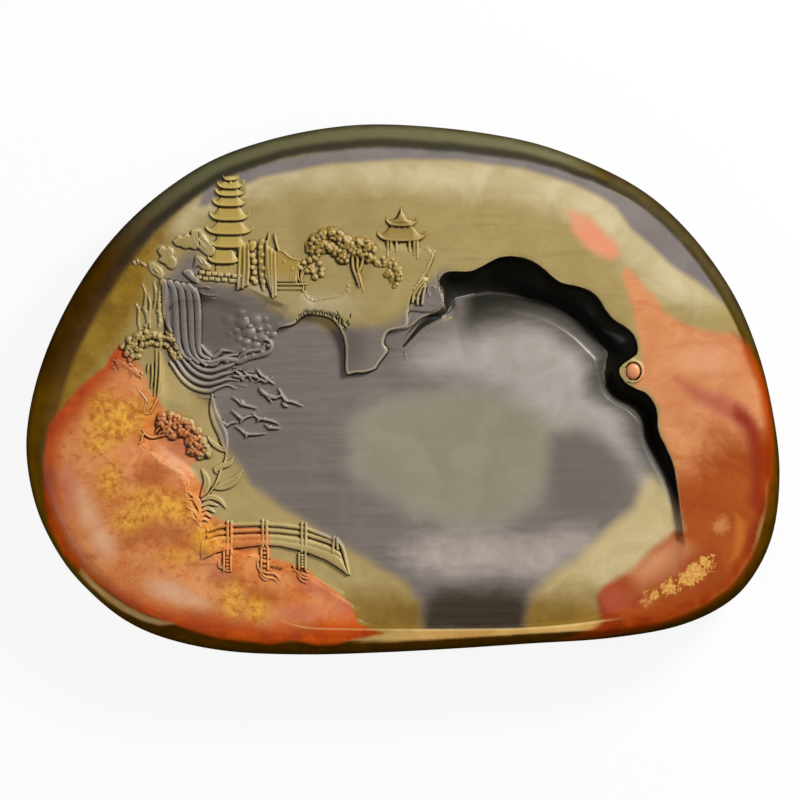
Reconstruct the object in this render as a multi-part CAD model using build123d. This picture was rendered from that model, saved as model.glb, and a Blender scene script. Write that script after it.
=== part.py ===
from build123d import *
import math
import os

os.makedirs("parts", exist_ok=True)

# A landscape ink stone lying flat: length along X, width along Y, +Z up, base on z = 0.
# Points are shares of the outline seen from above: first along the length from the left
# end, then down the width from the far side.

# Driving sizes of the stone, in mm.
stone_length = 260.0
stone_width = 183.0
stone_thickness = 30.0
rim_radius = 9.0
foot_radius = 5.0

# Depths below the flat top.
field_depth = 3.0
dish_depth = 1.8
dish_radius = 48.0
well_depth = 12.0
cut_overrun = 2.0

# Heights of the carving above the face that it grows from.
bank_rise = 2.0
bank_round = 1.0
shelf_rise = 1.8
roof_rise = 1.8
wall_rise = 1.1
base_rise = 0.8
leaf_rise = 1.0
pine_rise = 1.8
trunk_rise = 1.2
rock_rise = 1.6
fall_foot_rise = 0.8
wave_rise = 1.2
wave_step = 0.15
bird_rise = 0.7
deck_rise = 1.8
rail_rise = 2.2
pier_rise = 1.4
stud_rise = 0.5
tuft_rise = 0.8
pearl_radius = 2.5
pearl_rise = 2.0
curl_rise = 1.2

# Sizes of the smaller forms seen from above.
pine_clump_radius = 3.1
tree_clump_radius = 2.3
cliff_clump_radius = 2.7
bank_clump_share = 0.0098
bank_clump_radius = stone_length * bank_clump_share
trunk_half_width = 0.9
twig_half_width = 0.6
wave_half_width = 0.8
ledge_half_width = 0.7
blade_half_width = 0.75
bamboo_half_width = 1.6
rail_half_width = 0.55
post_half_width = 0.9
post_gap = 0.5
pier_half_width = 0.8
stud_radius = 0.5
bird_span = 5.6
bird_sweep = 1.5
bird_half_width = 0.6
tuft_length = 3.6
tuft_half_width = 0.6
curl_half_width = 0.55
curl_clearance = 0.7
scroll_stone_radius = 1.9

top_level = stone_thickness
field_level = top_level - field_depth
well_level = top_level - well_depth


def at(share):
    """Turn a pair of shares into x and y."""
    return ((share[0] - 0.5) * stone_length, (0.5 - share[1]) * stone_width)


def level_face(points, level, smooth):
    """A face on a level plane inside straight or curved sides."""
    spots = [(x, y, level) for x, y in points]
    if smooth:
        return make_face(Spline(*spots, periodic=True))
    return make_face(Polyline(*spots, close=True))


def plate(shares, level, rise, smooth=False):
    """An upright solid on the outline that the shares give."""
    return extrude(level_face([at(s) for s in shares], level, smooth), amount=rise)


def block(left, right, far, near, level, rise):
    """An upright solid on a rectangle of shares."""
    return plate([(left, far), (right, far), (right, near), (left, near)], level, rise)


def dome(spot, radius, rise, level):
    """A cap of a sphere with its flat side on the level."""
    ball = (radius * radius + rise * rise) / (2 * rise)
    x, y = spot
    low = math.degrees(math.asin((ball - rise) / ball))
    seat = Plane(origin=(x, y, level + rise - ball))
    return Solid.make_sphere(ball, seat, angle1=low, angle2=90)


def ribbon(points, half_width, level, rise, leaf=False):
    """A band along a path; a leaf narrows to a point at both ends."""
    last = len(points) - 1
    left_side = []
    right_side = []
    for index, (x, y) in enumerate(points):
        x0, y0 = points[max(index - 1, 0)]
        x1, y1 = points[min(index + 1, last)]
        run = math.hypot(x1 - x0, y1 - y0)
        fullness = math.sin(math.pi * index / last) if leaf else 1
        half = half_width * fullness
        if leaf and index in (0, last):
            left_side.append((x, y))
            continue
        left_side.append((x - (y1 - y0) / run * half, y + (x1 - x0) / run * half))
        right_side.append((x + (y1 - y0) / run * half, y - (x1 - x0) / run * half))
    sides = left_side + right_side[::-1]
    return extrude(level_face(sides, level, False), amount=rise)


def joined(pieces):
    """Fuse the pieces of one carving."""
    whole = pieces[0]
    for piece in pieces[1:]:
        whole = whole + piece
    return whole


def save(shape, name):
    export_step(shape, "parts/" + name + ".step")


# The slab: a closed curve drawn up to the top, rounded at the rim and at the foot.
outline_shares = [
    (0.486, 0.0), (0.603, 0.015), (0.703, 0.047), (0.807, 0.115), (0.878, 0.200),
    (0.936, 0.313), (0.971, 0.426), (0.991, 0.540), (1.0, 0.653), (0.992, 0.766),
    (0.965, 0.851), (0.925, 0.907), (0.860, 0.948), (0.769, 0.970), (0.669, 0.979),
    (0.570, 0.989), (0.470, 0.996), (0.370, 1.0), (0.271, 0.994), (0.190, 0.972),
    (0.131, 0.936), (0.082, 0.879), (0.045, 0.816), (0.014, 0.727), (0.0, 0.624),
    (0.005, 0.530), (0.027, 0.426), (0.062, 0.320), (0.107, 0.226), (0.166, 0.143),
    (0.240, 0.072), (0.319, 0.030), (0.404, 0.006),
]
slab = plate(outline_shares, 0, stone_thickness, smooth=True)
slab = fillet(slab.edges().group_by(Axis.Z)[-1], rim_radius)
slab = fillet(slab.edges().group_by(Axis.Z)[0], foot_radius)

# The sunk field: the water between the banks and the floor that ink is ground on.
land_line_share = 0.315
land_left_share = 0.318
land_right_share = 0.565
fall_line_share = 0.305
fall_left_share = 0.182
fall_right_share = 0.231
bank_edge_share = 0.238
tip_share = (0.871, 0.775)
wall_foot_shares = [
    (0.600, 0.322), (0.640, 0.319), (0.685, 0.337), (0.725, 0.368), (0.752, 0.405),
    (0.766, 0.445), (0.770, 0.485), (0.787, 0.517), (0.813, 0.550), (0.829, 0.600),
    (0.845, 0.645), (0.854, 0.685), (0.863, 0.730),
]
lip_shares = [
    (0.868, 0.820), (0.850, 0.875), (0.820, 0.912), (0.780, 0.930), (0.700, 0.942),
    (0.600, 0.948), (0.500, 0.950), (0.440, 0.945),
]
bank_shares = [
    (0.415, 0.905), (0.370, 0.872), (0.315, 0.856), (0.262, 0.852),
    (bank_edge_share, 0.835), (bank_edge_share, 0.750), (0.226, 0.722), (0.216, 0.682),
    (0.205, 0.660), (0.181, 0.636), (0.156, 0.610), (0.156, 0.570), (0.166, 0.545),
    (0.172, 0.500), (0.186, 0.455), (fall_left_share, 0.445),
    (fall_left_share, fall_line_share), (fall_right_share, fall_line_share),
    (0.240, land_line_share), (land_right_share, land_line_share),
]
field_shares = wall_foot_shares + [tip_share] + lip_shares + bank_shares
slab = slab - plate(field_shares, field_level, field_depth + cut_overrun)

# The ink well: a crescent between the scalloped wall and the slope of the floor.
scallop_shares = [
    (0.500, 0.420), (0.525, 0.385), (0.552, 0.345), (0.550, 0.315), (0.558, 0.283),
    (0.590, 0.278), (0.612, 0.264), (0.640, 0.252), (0.672, 0.265), (0.695, 0.292),
    (0.720, 0.304), (0.750, 0.315), (0.765, 0.342), (0.795, 0.376), (0.811, 0.412),
    (0.803, 0.440), (0.788, 0.457), (0.789, 0.484), (0.818, 0.508), (0.834, 0.542),
    (0.842, 0.590), (0.858, 0.640), (0.865, 0.700), (0.871, 0.775),
]
slope_crest_shares = [
    (0.520, 0.440), (0.560, 0.398), (0.600, 0.374), (0.640, 0.366), (0.682, 0.380),
    (0.718, 0.414), (0.738, 0.455), (0.746, 0.495), (0.760, 0.535), (0.784, 0.575),
    (0.806, 0.625), (0.828, 0.680), (0.850, 0.730),
]
slope_foot_shares = [
    (0.510, 0.400), (0.550, 0.365), (0.600, 0.322), (0.645, 0.318), (0.690, 0.339),
    (0.735, 0.378), (0.760, 0.425), (0.769, 0.478), (0.792, 0.522), (0.818, 0.556),
    (0.833, 0.610), (0.852, 0.675), (0.870, 0.735),
]
slope_back_shares = [(0.900, 0.830), (0.640, 0.900), (0.430, 0.640)]
crescent_shares = scallop_shares + slope_crest_shares[::-1]
crest_points = [at(s) for s in slope_crest_shares + slope_back_shares]
foot_points = [at(s) for s in slope_foot_shares + slope_back_shares]
mound_top = level_face(crest_points, field_level, False)
mound_foot = level_face(foot_points, well_level, False)
mound = loft([mound_foot, mound_top], ruled=True)
well_cut = plate(crescent_shares, well_level, well_depth + cut_overrun) - mound
slab = slab - well_cut

# The grinding dish: a shallow cap of a sphere sunk in the field.
dish_share = (0.600, 0.660)
dish_ball = (dish_radius ** 2 + dish_depth ** 2) / (2 * dish_depth)
dish_x, dish_y = at(dish_share)
dish_middle = Plane(origin=(dish_x, dish_y, field_level + dish_ball - dish_depth))
dish_brim = -math.degrees(math.asin((dish_ball - dish_depth) / dish_ball))
slab = slab - Solid.make_sphere(dish_ball, dish_middle, angle1=-90, angle2=dish_brim)
save(slab, "stone_slab")

# The headland stands in the field, with its top level with the stone around it.
headland_shares = [
    (land_left_share, land_line_share), (0.550, land_line_share), (0.552, 0.345),
    (0.540, 0.358), (0.520, 0.372), (0.505, 0.388), (0.485, 0.392), (0.475, 0.400),
    (0.480, 0.420), (0.480, 0.432), (0.470, 0.440), (0.465, 0.460), (0.455, 0.468),
    (0.435, 0.468), (0.424, 0.474), (0.424, 0.420), (0.415, 0.375), (0.410, 0.357),
    (0.375, 0.355), (0.360, 0.360), (0.345, 0.380), (land_left_share, 0.400),
]
save(plate(headland_shares, field_level, field_depth), "headland")

# A lower step of the headland runs down to the tip of the pool.
shelf_shares = [
    (0.480, 0.432), (0.480, 0.420), (0.475, 0.400), (0.485, 0.392), (0.505, 0.388),
    (0.520, 0.372), (0.540, 0.358), (0.552, 0.345), (0.525, 0.385), (0.500, 0.420),
]
save(plate(shelf_shares, field_level, shelf_rise), "headland_shelf")

# The boulder bank swells out of the stone on the left.
boulder_shares = [
    (0.122, 0.505), (0.092, 0.530), (0.070, 0.590), (0.062, 0.655), (0.068, 0.720),
    (0.094, 0.785), (0.132, 0.840), (0.180, 0.885), (0.250, 0.915), (0.330, 0.928),
    (0.388, 0.922), (0.384, 0.903), (0.320, 0.880), (0.260, 0.867), (0.226, 0.825),
    (0.219, 0.765), (0.202, 0.710), (0.176, 0.660), (0.152, 0.610), (0.142, 0.550),
]
boulder = plate(boulder_shares, top_level, bank_rise, smooth=True)
boulder = fillet(boulder.edges().group_by(Axis.Z)[-1], bank_round)
save(boulder, "boulder_bank")

# The pagoda: roofs that narrow upwards, one storey under each, and a spire.
pagoda_axis_share = 0.271
pagoda_storey_half_share = 0.011
pagoda_crown_half_share = 0.008
pagoda_eave_inset_share = 0.006
pagoda_roof_shares = [
    (0.256, 0.287, 0.104, 0.112, 0.118), (0.253, 0.289, 0.122, 0.129, 0.137),
    (0.250, 0.292, 0.142, 0.149, 0.158), (0.246, 0.296, 0.166, 0.175, 0.183),
    (0.242, 0.300, 0.190, 0.200, 0.209), (0.245, 0.281, 0.216, 0.227, 0.235),
    (0.240, 0.281, 0.244, 0.257, 0.266),
]
pagoda_base_shares = (0.248, 0.281, 0.266, 0.284)
roofs = []
storeys = []
for left, right, crown, eave, low in pagoda_roof_shares:
    crown_left = pagoda_axis_share - pagoda_crown_half_share
    crown_right = pagoda_axis_share + pagoda_crown_half_share
    roofs.append(plate([
        (crown_left, crown), (crown_right, crown), (right, eave),
        (right - pagoda_eave_inset_share, low), (left + pagoda_eave_inset_share, low),
        (left, eave),
    ], top_level, roof_rise))
for above, below in zip(pagoda_roof_shares, pagoda_roof_shares[1:]):
    storey_left = pagoda_axis_share - pagoda_storey_half_share
    storey_right = min(pagoda_axis_share + pagoda_storey_half_share, below[1])
    storeys.append(block(storey_left, storey_right, above[4], below[2], top_level, wall_rise))
spire_shares = [(0.2700, 0.094), (0.2730, 0.094), (0.2745, 0.104), (0.2685, 0.104)]
spire = plate(spire_shares, top_level, wall_rise)
storeys.append(block(*pagoda_base_shares, top_level, wall_rise))
save(joined(roofs + storeys + [spire]), "pagoda")

# A wall of dressed stones under the pagoda.
terrace_shares = (0.226, 0.2815, 0.284, 0.300)
save(block(*terrace_shares, top_level, base_rise), "stone_terrace")

# The gate hall, seen from its side: tall roofs with walls between them.
hall_roof_shares = [
    [(0.283, 0.236), (0.299, 0.232), (0.299, 0.312), (0.283, 0.312)],
    [(0.307, 0.222), (0.317, 0.226), (0.317, 0.313), (0.307, 0.313)],
    [(0.3205, 0.205), (0.327, 0.210), (0.333, 0.232), (0.333, 0.310), (0.329, 0.330),
     (0.3205, 0.312)],
]
hall_wall_shares = [
    [(0.299, 0.240), (0.307, 0.240), (0.307, 0.308), (0.299, 0.308)],
    [(0.317, 0.240), (0.3205, 0.240), (0.3205, 0.308), (0.317, 0.308)],
    [(0.333, 0.240), (0.348, 0.246), (0.360, 0.262), (0.360, 0.300), (0.333, 0.300)],
]
hall_base_shares = (0.333, 0.368, 0.300, 0.309)
hall = [plate(shares, top_level, roof_rise) for shares in hall_roof_shares]
hall += [plate(shares, top_level, wall_rise) for shares in hall_wall_shares]
hall.append(block(*hall_base_shares, top_level, base_rise))
save(joined(hall), "gate_hall")

# A small tree beside the gate hall.
tree_clump_shares = [(0.371, 0.264), (0.379, 0.266), (0.386, 0.274), (0.375, 0.276)]
tree_trunk_shares = [(0.3645, 0.268), (0.3655, 0.284), (0.3645, 0.299)]
tree = [ribbon([at(s) for s in tree_trunk_shares], twig_half_width, top_level, trunk_rise)]
for share in tree_clump_shares:
    tree.append(dome(at(share), tree_clump_radius, leaf_rise, top_level))
save(joined(tree), "small_tree")

# The pine that leans along the top of the headland.
pine_clump_shares = [
    (0.385, 0.230), (0.398, 0.224), (0.413, 0.231), (0.407, 0.244), (0.428, 0.238),
    (0.443, 0.252), (0.458, 0.262), (0.469, 0.273), (0.482, 0.287), (0.420, 0.252),
]
pine_trunk_shares = [(0.432, 0.250), (0.431, 0.268), (0.438, 0.285), (0.441, 0.306)]
pine = [ribbon([at(s) for s in pine_trunk_shares], trunk_half_width, top_level, trunk_rise)]
for share in pine_clump_shares:
    pine.append(dome(at(share), pine_clump_radius, pine_rise, top_level))
save(joined(pine), "headland_pine")

# The pavilion: two roofs, four posts and a floor.
pavilion_roof_shares = [
    [(0.4955, 0.160), (0.4985, 0.160), (0.505, 0.176), (0.518, 0.185), (0.514, 0.196),
     (0.482, 0.196), (0.478, 0.185), (0.490, 0.176)],
    [(0.484, 0.204), (0.514, 0.204), (0.528, 0.211), (0.520, 0.222), (0.477, 0.222),
     (0.468, 0.211)],
]
pavilion_storey_shares = (0.485, 0.513, 0.196, 0.204)
pavilion_post_shares = [0.482, 0.490, 0.506, 0.514]
pavilion_post_half_share = 0.0016
pavilion_floor_shares = (0.478, 0.519, 0.248, 0.254)
pavilion = [plate(shares, top_level, roof_rise) for shares in pavilion_roof_shares]
pavilion.append(block(*pavilion_storey_shares, top_level, wall_rise))
pavilion.append(block(*pavilion_floor_shares, top_level, base_rise))
for share in pavilion_post_shares:
    post_left = share - pavilion_post_half_share
    post_right = share + pavilion_post_half_share
    pavilion.append(block(
        post_left, post_right, pavilion_roof_shares[1][3][1], pavilion_floor_shares[2],
        top_level, wall_rise,
    ))
save(joined(pavilion), "pavilion")

# Rounded stones piled down the right side of the headland.
scroll_stone_shares = [(0.519, 0.300), (0.515, 0.318), (0.512, 0.336), (0.537, 0.300)]
scrolls = [
    dome(at(share), scroll_stone_radius, leaf_rise, top_level)
    for share in scroll_stone_shares
]
save(joined(scrolls), "scroll_stones")

# Craggy rocks behind the fall.
crag_shares = [
    [(0.162, 0.258), (0.170, 0.232), (0.186, 0.226), (0.198, 0.244), (0.200, 0.266),
     (0.184, 0.276)],
    [(0.198, 0.226), (0.207, 0.205), (0.220, 0.203), (0.227, 0.220), (0.219, 0.238),
     (0.204, 0.240)],
    [(0.206, 0.256), (0.220, 0.246), (0.236, 0.252), (0.237, 0.276), (0.218, 0.290),
     (0.205, 0.278)],
]
crags = [plate(shares, top_level, rock_rise) for shares in crag_shares]
save(joined(crags), "peak_rocks")

# Ledges down the cliff on the left of the fall.
ledge_shares = [
    [(0.157, 0.295), (0.155, 0.330), (0.159, 0.375)],
    [(0.165, 0.290), (0.164, 0.330), (0.168, 0.380)],
    [(0.173, 0.300), (0.173, 0.335), (0.176, 0.380)],
]
ledges = [
    ribbon([at(s) for s in shares], ledge_half_width, top_level, base_rise)
    for shares in ledge_shares
]
save(joined(ledges), "cliff_ledges")

# The waterfall: strips side by side that slope from the top down to the field.
strip_edge_shares = [fall_left_share, 0.194, 0.204, 0.213, 0.222, fall_right_share]
fall_foot_share = 0.438
strip_drop = 0.35
strips = []
for index, (left, right) in enumerate(zip(strip_edge_shares, strip_edge_shares[1:])):
    x0, head_y = at((left, fall_line_share))
    x1, foot_y = at((right, fall_foot_share))
    lower = strip_drop * (index % 2)
    profile = Polyline(
        (x0, head_y, field_level), (x0, head_y, top_level - lower),
        (x0, foot_y, field_level + fall_foot_rise - lower), (x0, foot_y, field_level),
        close=True,
    )
    strips.append(extrude(make_face(profile), amount=x1 - x0, dir=(1, 0, 0)))
save(joined(strips), "waterfall")

# Rocks along the shore right of the fall.
shore_rock_shares = [
    (0.281, 0.372), (0.293, 0.366), (0.304, 0.378), (0.290, 0.388), (0.302, 0.398),
    (0.309, 0.396), (0.308, 0.415), (0.320, 0.420), (0.292, 0.410), (0.280, 0.428),
]
shore = [
    dome(at(share), scroll_stone_radius, rock_rise, field_level)
    for share in shore_rock_shares
]
save(joined(shore), "shore_rocks")

# The stream spreads into curved terraces, each lower than the one before it.
terrace_wave_shares = [
    [(0.236, 0.446), (0.244, 0.453), (0.258, 0.450)],
    [(0.226, 0.450), (0.236, 0.464), (0.250, 0.468), (0.268, 0.464)],
    [(0.216, 0.452), (0.226, 0.470), (0.242, 0.481), (0.272, 0.480)],
    [(0.206, 0.455), (0.217, 0.480), (0.234, 0.494), (0.262, 0.494)],
    [(0.196, 0.462), (0.208, 0.490), (0.226, 0.508), (0.250, 0.509)],
]
waves = [
    ribbon([at(s) for s in shares], wave_half_width, field_level, wave_rise - wave_step * index)
    for index, shares in enumerate(terrace_wave_shares)
]
save(joined(waves), "stream_terraces")

# The pine on the cliff above the bank.
cliff_clump_shares = [
    (0.143, 0.422), (0.148, 0.406), (0.161, 0.400), (0.172, 0.412), (0.122, 0.446),
    (0.134, 0.440), (0.131, 0.462), (0.146, 0.452),
]
cliff_trunk_shares = [(0.160, 0.405), (0.164, 0.440), (0.160, 0.480), (0.150, 0.505)]
cliff_pine = [
    ribbon([at(s) for s in cliff_trunk_shares], trunk_half_width, top_level, trunk_rise)
]
for share in cliff_clump_shares:
    cliff_pine.append(dome(at(share), cliff_clump_radius, pine_rise, top_level))
save(joined(cliff_pine), "cliff_pine")

# The pine that reaches out over the water from the bank.
bank_clump_shares = [
    (0.176, 0.568), (0.190, 0.553), (0.205, 0.562), (0.217, 0.558), (0.226, 0.576),
    (0.213, 0.580), (0.220, 0.604), (0.232, 0.612),
]
bank_branch_shares = [(0.163, 0.588), (0.185, 0.590), (0.204, 0.578), (0.222, 0.592)]
bank_pine = [
    ribbon([at(s) for s in bank_branch_shares], trunk_half_width, field_level, trunk_rise)
]
for share in bank_clump_shares:
    bank_pine.append(dome(at(share), bank_clump_radius, pine_rise, field_level))
save(joined(bank_pine), "bank_pine")

# Bamboo: a stem with long pointed leaves.
bamboo_leaf_shares = [
    [(0.252, 0.517), (0.250, 0.545), (0.256, 0.582), (0.266, 0.614)],
    [(0.246, 0.594), (0.252, 0.603), (0.263, 0.615)],
    [(0.250, 0.655), (0.262, 0.645), (0.277, 0.628)],
    [(0.246, 0.683), (0.266, 0.671), (0.288, 0.653)],
    [(0.235, 0.654), (0.236, 0.675), (0.234, 0.695)],
]
bamboo_stem_shares = [(0.265, 0.612), (0.256, 0.655), (0.246, 0.684), (0.236, 0.700)]
bamboo = [ribbon([at(s) for s in bamboo_stem_shares], twig_half_width, field_level, leaf_rise)]
for shares in bamboo_leaf_shares:
    bamboo.append(ribbon(
        [at(s) for s in shares], bamboo_half_width, field_level, trunk_rise, leaf=True,
    ))
save(joined(bamboo), "bamboo")

# Orchid grass springing from one root by the bank.
blade_tip_shares = [
    [(0.252, 0.716), (0.270, 0.722)], [(0.250, 0.726), (0.263, 0.740)],
    [(0.246, 0.728), (0.252, 0.748)], [(0.243, 0.712), (0.258, 0.704)],
]
orchid_root_share = (0.2395, 0.735)
orchid = [
    ribbon(
        [at(orchid_root_share)] + [at(s) for s in shares],
        blade_half_width, field_level, leaf_rise, leaf=True,
    )
    for shares in blade_tip_shares
]
save(joined(orchid), "orchid_grass")

# A flock over the water, each bird a shallow chevron.
bird_shares = [
    (0.283, 0.516), (0.296, 0.500), (0.312, 0.502), (0.330, 0.498), (0.318, 0.520),
    (0.335, 0.524), (0.350, 0.534), (0.364, 0.546), (0.285, 0.538), (0.272, 0.562),
    (0.288, 0.564), (0.304, 0.560), (0.320, 0.566), (0.337, 0.562), (0.302, 0.588),
]
birds = []
for share in bird_shares:
    x, y = at(share)
    wing = bird_span / 2
    path = [(x - wing, y + bird_sweep), (x, y), (x + wing, y + bird_sweep)]
    birds.append(ribbon(path, bird_half_width, field_level, bird_rise, leaf=True))
save(joined(birds), "flying_birds")

# The bridge: an arched deck out from the bank, a railing, and double piers with studs.
deck_far_shares = [
    (bank_edge_share, 0.776), (0.270, 0.768), (0.320, 0.765), (0.360, 0.771),
    (0.400, 0.790), (0.420, 0.806),
]
deck_near_shares = [
    (0.430, 0.845), (0.410, 0.830), (0.380, 0.808), (0.345, 0.797), (0.310, 0.795),
    (0.270, 0.797), (bank_edge_share, 0.810),
]
save(plate(deck_far_shares + deck_near_shares, field_level, deck_rise), "bridge_deck")

rail_shares = [
    (0.2405, 0.7630), (0.269, 0.7565), (0.3165, 0.7555), (0.3685, 0.7625),
    (0.410, 0.7800),
]
post_shares = [
    (0.269, 0.748, 0.7682), (0.3165, 0.746, 0.7651), (0.3685, 0.752, 0.7750),
    (0.408, 0.768, 0.7964),
]
railing = [ribbon([at(s) for s in rail_shares], rail_half_width, field_level, deck_rise)]
pair_offset = post_half_width + post_gap / 2
for along, far, near in post_shares:
    x, far_y = at((along, far))
    near_y = at((along, near))[1]
    for side in (-1, 1):
        middle = x + side * pair_offset
        railing.append(extrude(level_face([
            (middle - post_half_width, far_y), (middle + post_half_width, far_y),
            (middle + post_half_width, near_y), (middle - post_half_width, near_y),
        ], field_level, False), amount=rail_rise))
deck = plate(deck_far_shares + deck_near_shares, field_level, rail_rise)
save(joined(railing) - deck, "bridge_railing")

pier_shares = [(0.267, 0.796, 0.846), (0.316, 0.795, 0.848), (0.3655, 0.802, 0.862)]
stud_count = 4
piers = []
for along, far, near in pier_shares:
    x, far_y = at((along, far))
    near_y = at((along, near))[1]
    for side in (-1, 1):
        middle = x + side * (pier_half_width + post_gap / 2)
        piers.append(extrude(level_face([
            (middle - pier_half_width, far_y), (middle + pier_half_width, far_y),
            (middle + pier_half_width, near_y), (middle - pier_half_width, near_y),
        ], field_level, False), amount=pier_rise))
        for step in range(stud_count):
            stud_y = far_y + (near_y - far_y) * (step + 1) / (stud_count + 1)
            spot = (middle, stud_y)
            piers.append(dome(spot, stud_radius, stud_rise, field_level + pier_rise))
save(joined(piers) - deck, "bridge_piers")

# Grass at the feet of the piers.
tuft_shares = [(0.285, 0.847), (0.335, 0.850), (0.385, 0.866), (0.300, 0.846)]
tuft_lean_shares = [-0.6, 0.0, 0.6]
tufts = []
for share in tuft_shares:
    x, y = at(share)
    for lean in tuft_lean_shares:
        path = [(x, y), (x + lean * tuft_length / 2, y + tuft_length / 2),
                (x + lean * tuft_length, y + tuft_length)]
        tufts.append(ribbon(path, tuft_half_width, field_level, tuft_rise, leaf=True))
save(joined(tufts), "pier_grass")

# The pearl on the point of the wall, and the curl around it.
pearl_share = (0.8065, 0.465)
save(dome(at(pearl_share), pearl_radius, pearl_rise, top_level), "pearl")
pearl_x, pearl_y = at(pearl_share)
curl_radius = pearl_radius + curl_clearance + curl_half_width
curl_steps = 9
curl_start = 150
curl_sweep = 210
curl_path = []
for step in range(curl_steps):
    turn = math.radians(curl_start - curl_sweep * step / (curl_steps - 1))
    curl_path.append((
        pearl_x + curl_radius * math.cos(turn), pearl_y + curl_radius * math.sin(turn),
    ))
save(ribbon(curl_path, curl_half_width, top_level, curl_rise), "pearl_curl")
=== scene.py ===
# A landscape ink stone, carved and polished: its surfaces, its stone, light and camera.
# Outlines are read in pixels of the photograph; shapes are worked out in millimetres.
import math
import bpy
import numpy as np
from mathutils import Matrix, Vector


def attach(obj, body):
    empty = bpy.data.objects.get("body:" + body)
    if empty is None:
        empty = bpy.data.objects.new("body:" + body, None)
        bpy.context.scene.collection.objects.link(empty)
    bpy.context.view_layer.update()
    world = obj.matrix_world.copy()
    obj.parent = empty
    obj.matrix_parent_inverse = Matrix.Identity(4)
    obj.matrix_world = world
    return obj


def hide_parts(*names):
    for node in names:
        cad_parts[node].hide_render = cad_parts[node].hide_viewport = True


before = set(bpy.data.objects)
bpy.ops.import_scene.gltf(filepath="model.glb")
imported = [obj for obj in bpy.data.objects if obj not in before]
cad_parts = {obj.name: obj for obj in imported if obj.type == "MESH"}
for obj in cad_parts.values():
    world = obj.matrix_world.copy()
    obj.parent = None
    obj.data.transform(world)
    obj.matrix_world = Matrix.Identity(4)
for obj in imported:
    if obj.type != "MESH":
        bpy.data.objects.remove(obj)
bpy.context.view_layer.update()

print("frame loaded:", len(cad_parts), "nodes")

millimetre = 0.001
photo = {
    "mmPerPixel": 0.34529,
    "middle": (402.5, 389.0),  # the pixel over the stone's origin
}
stone = {
    # heights in mm over the resting face
    "top": 30.0,
    "field": 27.0,
    "rimDrop": 12.0,
    "footRadius": 5.0,
    # the dish in the field
    "dishPixel": (478, 474),
    "dishRadius": 48.0,
    "dishDepth": 1.8,
    "dishPower": 1.3,
    # the top sinks a little behind the rim
    "dip": 0.35,
    "dipStart": 10.0,
    "dipRun": 16.0,
    # the slope to the trough, the depth that hollows its wall and the depth of full stain
    "slopePower": 1.7,
    "hollowDepth": 3.0,
    "stainDepth": 6.0,
    # half the width of the groove beside the shelf at its start, and how much of it goes by its end
    "grooveHalf": 1.7,
    "grooveTaper": 1.3,
    # the worked edge along the brink
    "crispDrop": 0.22,
    "crispWidth": 0.7,
    # the rings of the slab's surface are drawn round this point
    "polePixel": (492, 435),
    "turns": 600,
    "rings": {"floor": 30, "slope": 14, "wall": 20, "top": 26, "rim": 13, "foot": 8},
}


def plan(points):
    # pixels to millimetres: x = (px - middle) * scale, y = (middle - py) * scale
    spots = np.asarray(points, float)
    return (spots - photo["middle"]) * (photo["mmPerPixel"], -photo["mmPerPixel"])


def smoothLine(spots, closed, cuts=6):
    # Catmull-Rom: each span is the cubic through its ends with slopes from the neighbours
    spots = np.asarray(spots, float)
    if closed:
        rows = np.vstack([spots[-1:], spots, spots[:2]])
    else:
        rows = np.vstack([2 * spots[:1] - spots[1:2], spots, 2 * spots[-1:] - spots[-2:-1]])
    before, here, after, beyond = rows[:-3], rows[1:-2], rows[2:-1], rows[3:]
    t = (np.arange(cuts) / cuts)[:, None, None]
    line = 0.5 * (2 * here + (after - before) * t
                  + (2 * before - 5 * here + 4 * after - beyond) * t ** 2
                  + (3 * here - before - 3 * after + beyond) * t ** 3)
    line = line.transpose(1, 0, 2).reshape(-1, 2)
    return line if closed else np.vstack([line, spots[-1:]])


def toLine(x, y, line, closed=False):
    # distance to a chain of straight runs, and how far along it the nearest point is, 0 to 1
    starts = line if closed else line[:-1]
    ends = np.roll(line, -1, axis=0) if closed else line[1:]
    lengths = np.hypot(*(ends - starts).T)
    before = np.concatenate([[0], np.cumsum(lengths)])
    best = np.full(x.shape, 1e9)
    share = np.zeros(x.shape)
    for a, b, run, gone in zip(starts, ends, lengths, before):
        if run < 1e-9:
            continue
        ux, uy = (b - a) / run
        reached = np.clip((x - a[0]) * ux + (y - a[1]) * uy, 0, run)
        gap = (x - a[0] - ux * reached) ** 2 + (y - a[1] - uy * reached) ** 2
        near = gap < best
        best = np.where(near, gap, best)
        share = np.where(near, gone + reached, share)
    return np.sqrt(best), share / before[-1]


def insideBy(x, y, loop):
    # distance to a closed outline, counted positive inside it
    gap = toLine(x, y, loop, closed=True)[0]
    within = np.zeros(x.shape, bool)
    for a, b in zip(loop, np.roll(loop, -1, axis=0)):
        if a[1] == b[1]:
            continue
        crosses = (a[1] > y) != (b[1] > y)
        within ^= crosses & (x < (b[0] - a[0]) * (y - a[1]) / (b[1] - a[1]) + a[0])
    return np.where(within, gap, -gap)


def ease(t):
    # 3t^2 - 2t^3 between 0 and 1
    t = np.clip(t, 0, 1)
    return t * t * (3 - 2 * t)


scale = photo["mmPerPixel"]
pole = plan([stone["polePixel"]])[0]
dishSpot = plan([stone["dishPixel"]])[0]


def polar(x, y):
    # angle and distance about the pole
    dx, dy = x - pole[0], y - pole[1]
    return np.arctan2(dy, dx), np.hypot(dx, dy)


def aboutPole(points):
    # a smooth loop as angle and radius about the pole, in order of angle
    angle, radius = polar(*smoothLine(plan(points), True).T)
    order = np.argsort(angle)
    return angle[order], radius[order]


def levelsAboutPole(rows):
    # values given at pixels, read back by angle about the pole
    rows = np.array(rows, float)
    angle = polar(*plan(rows[:, :2]).T)[0]
    order = np.argsort(angle)
    return angle[order], rows[order, 2]


def byAngle(angle, curve):
    return np.interp(angle, curve[0], curve[1], period=2 * np.pi)


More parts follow.
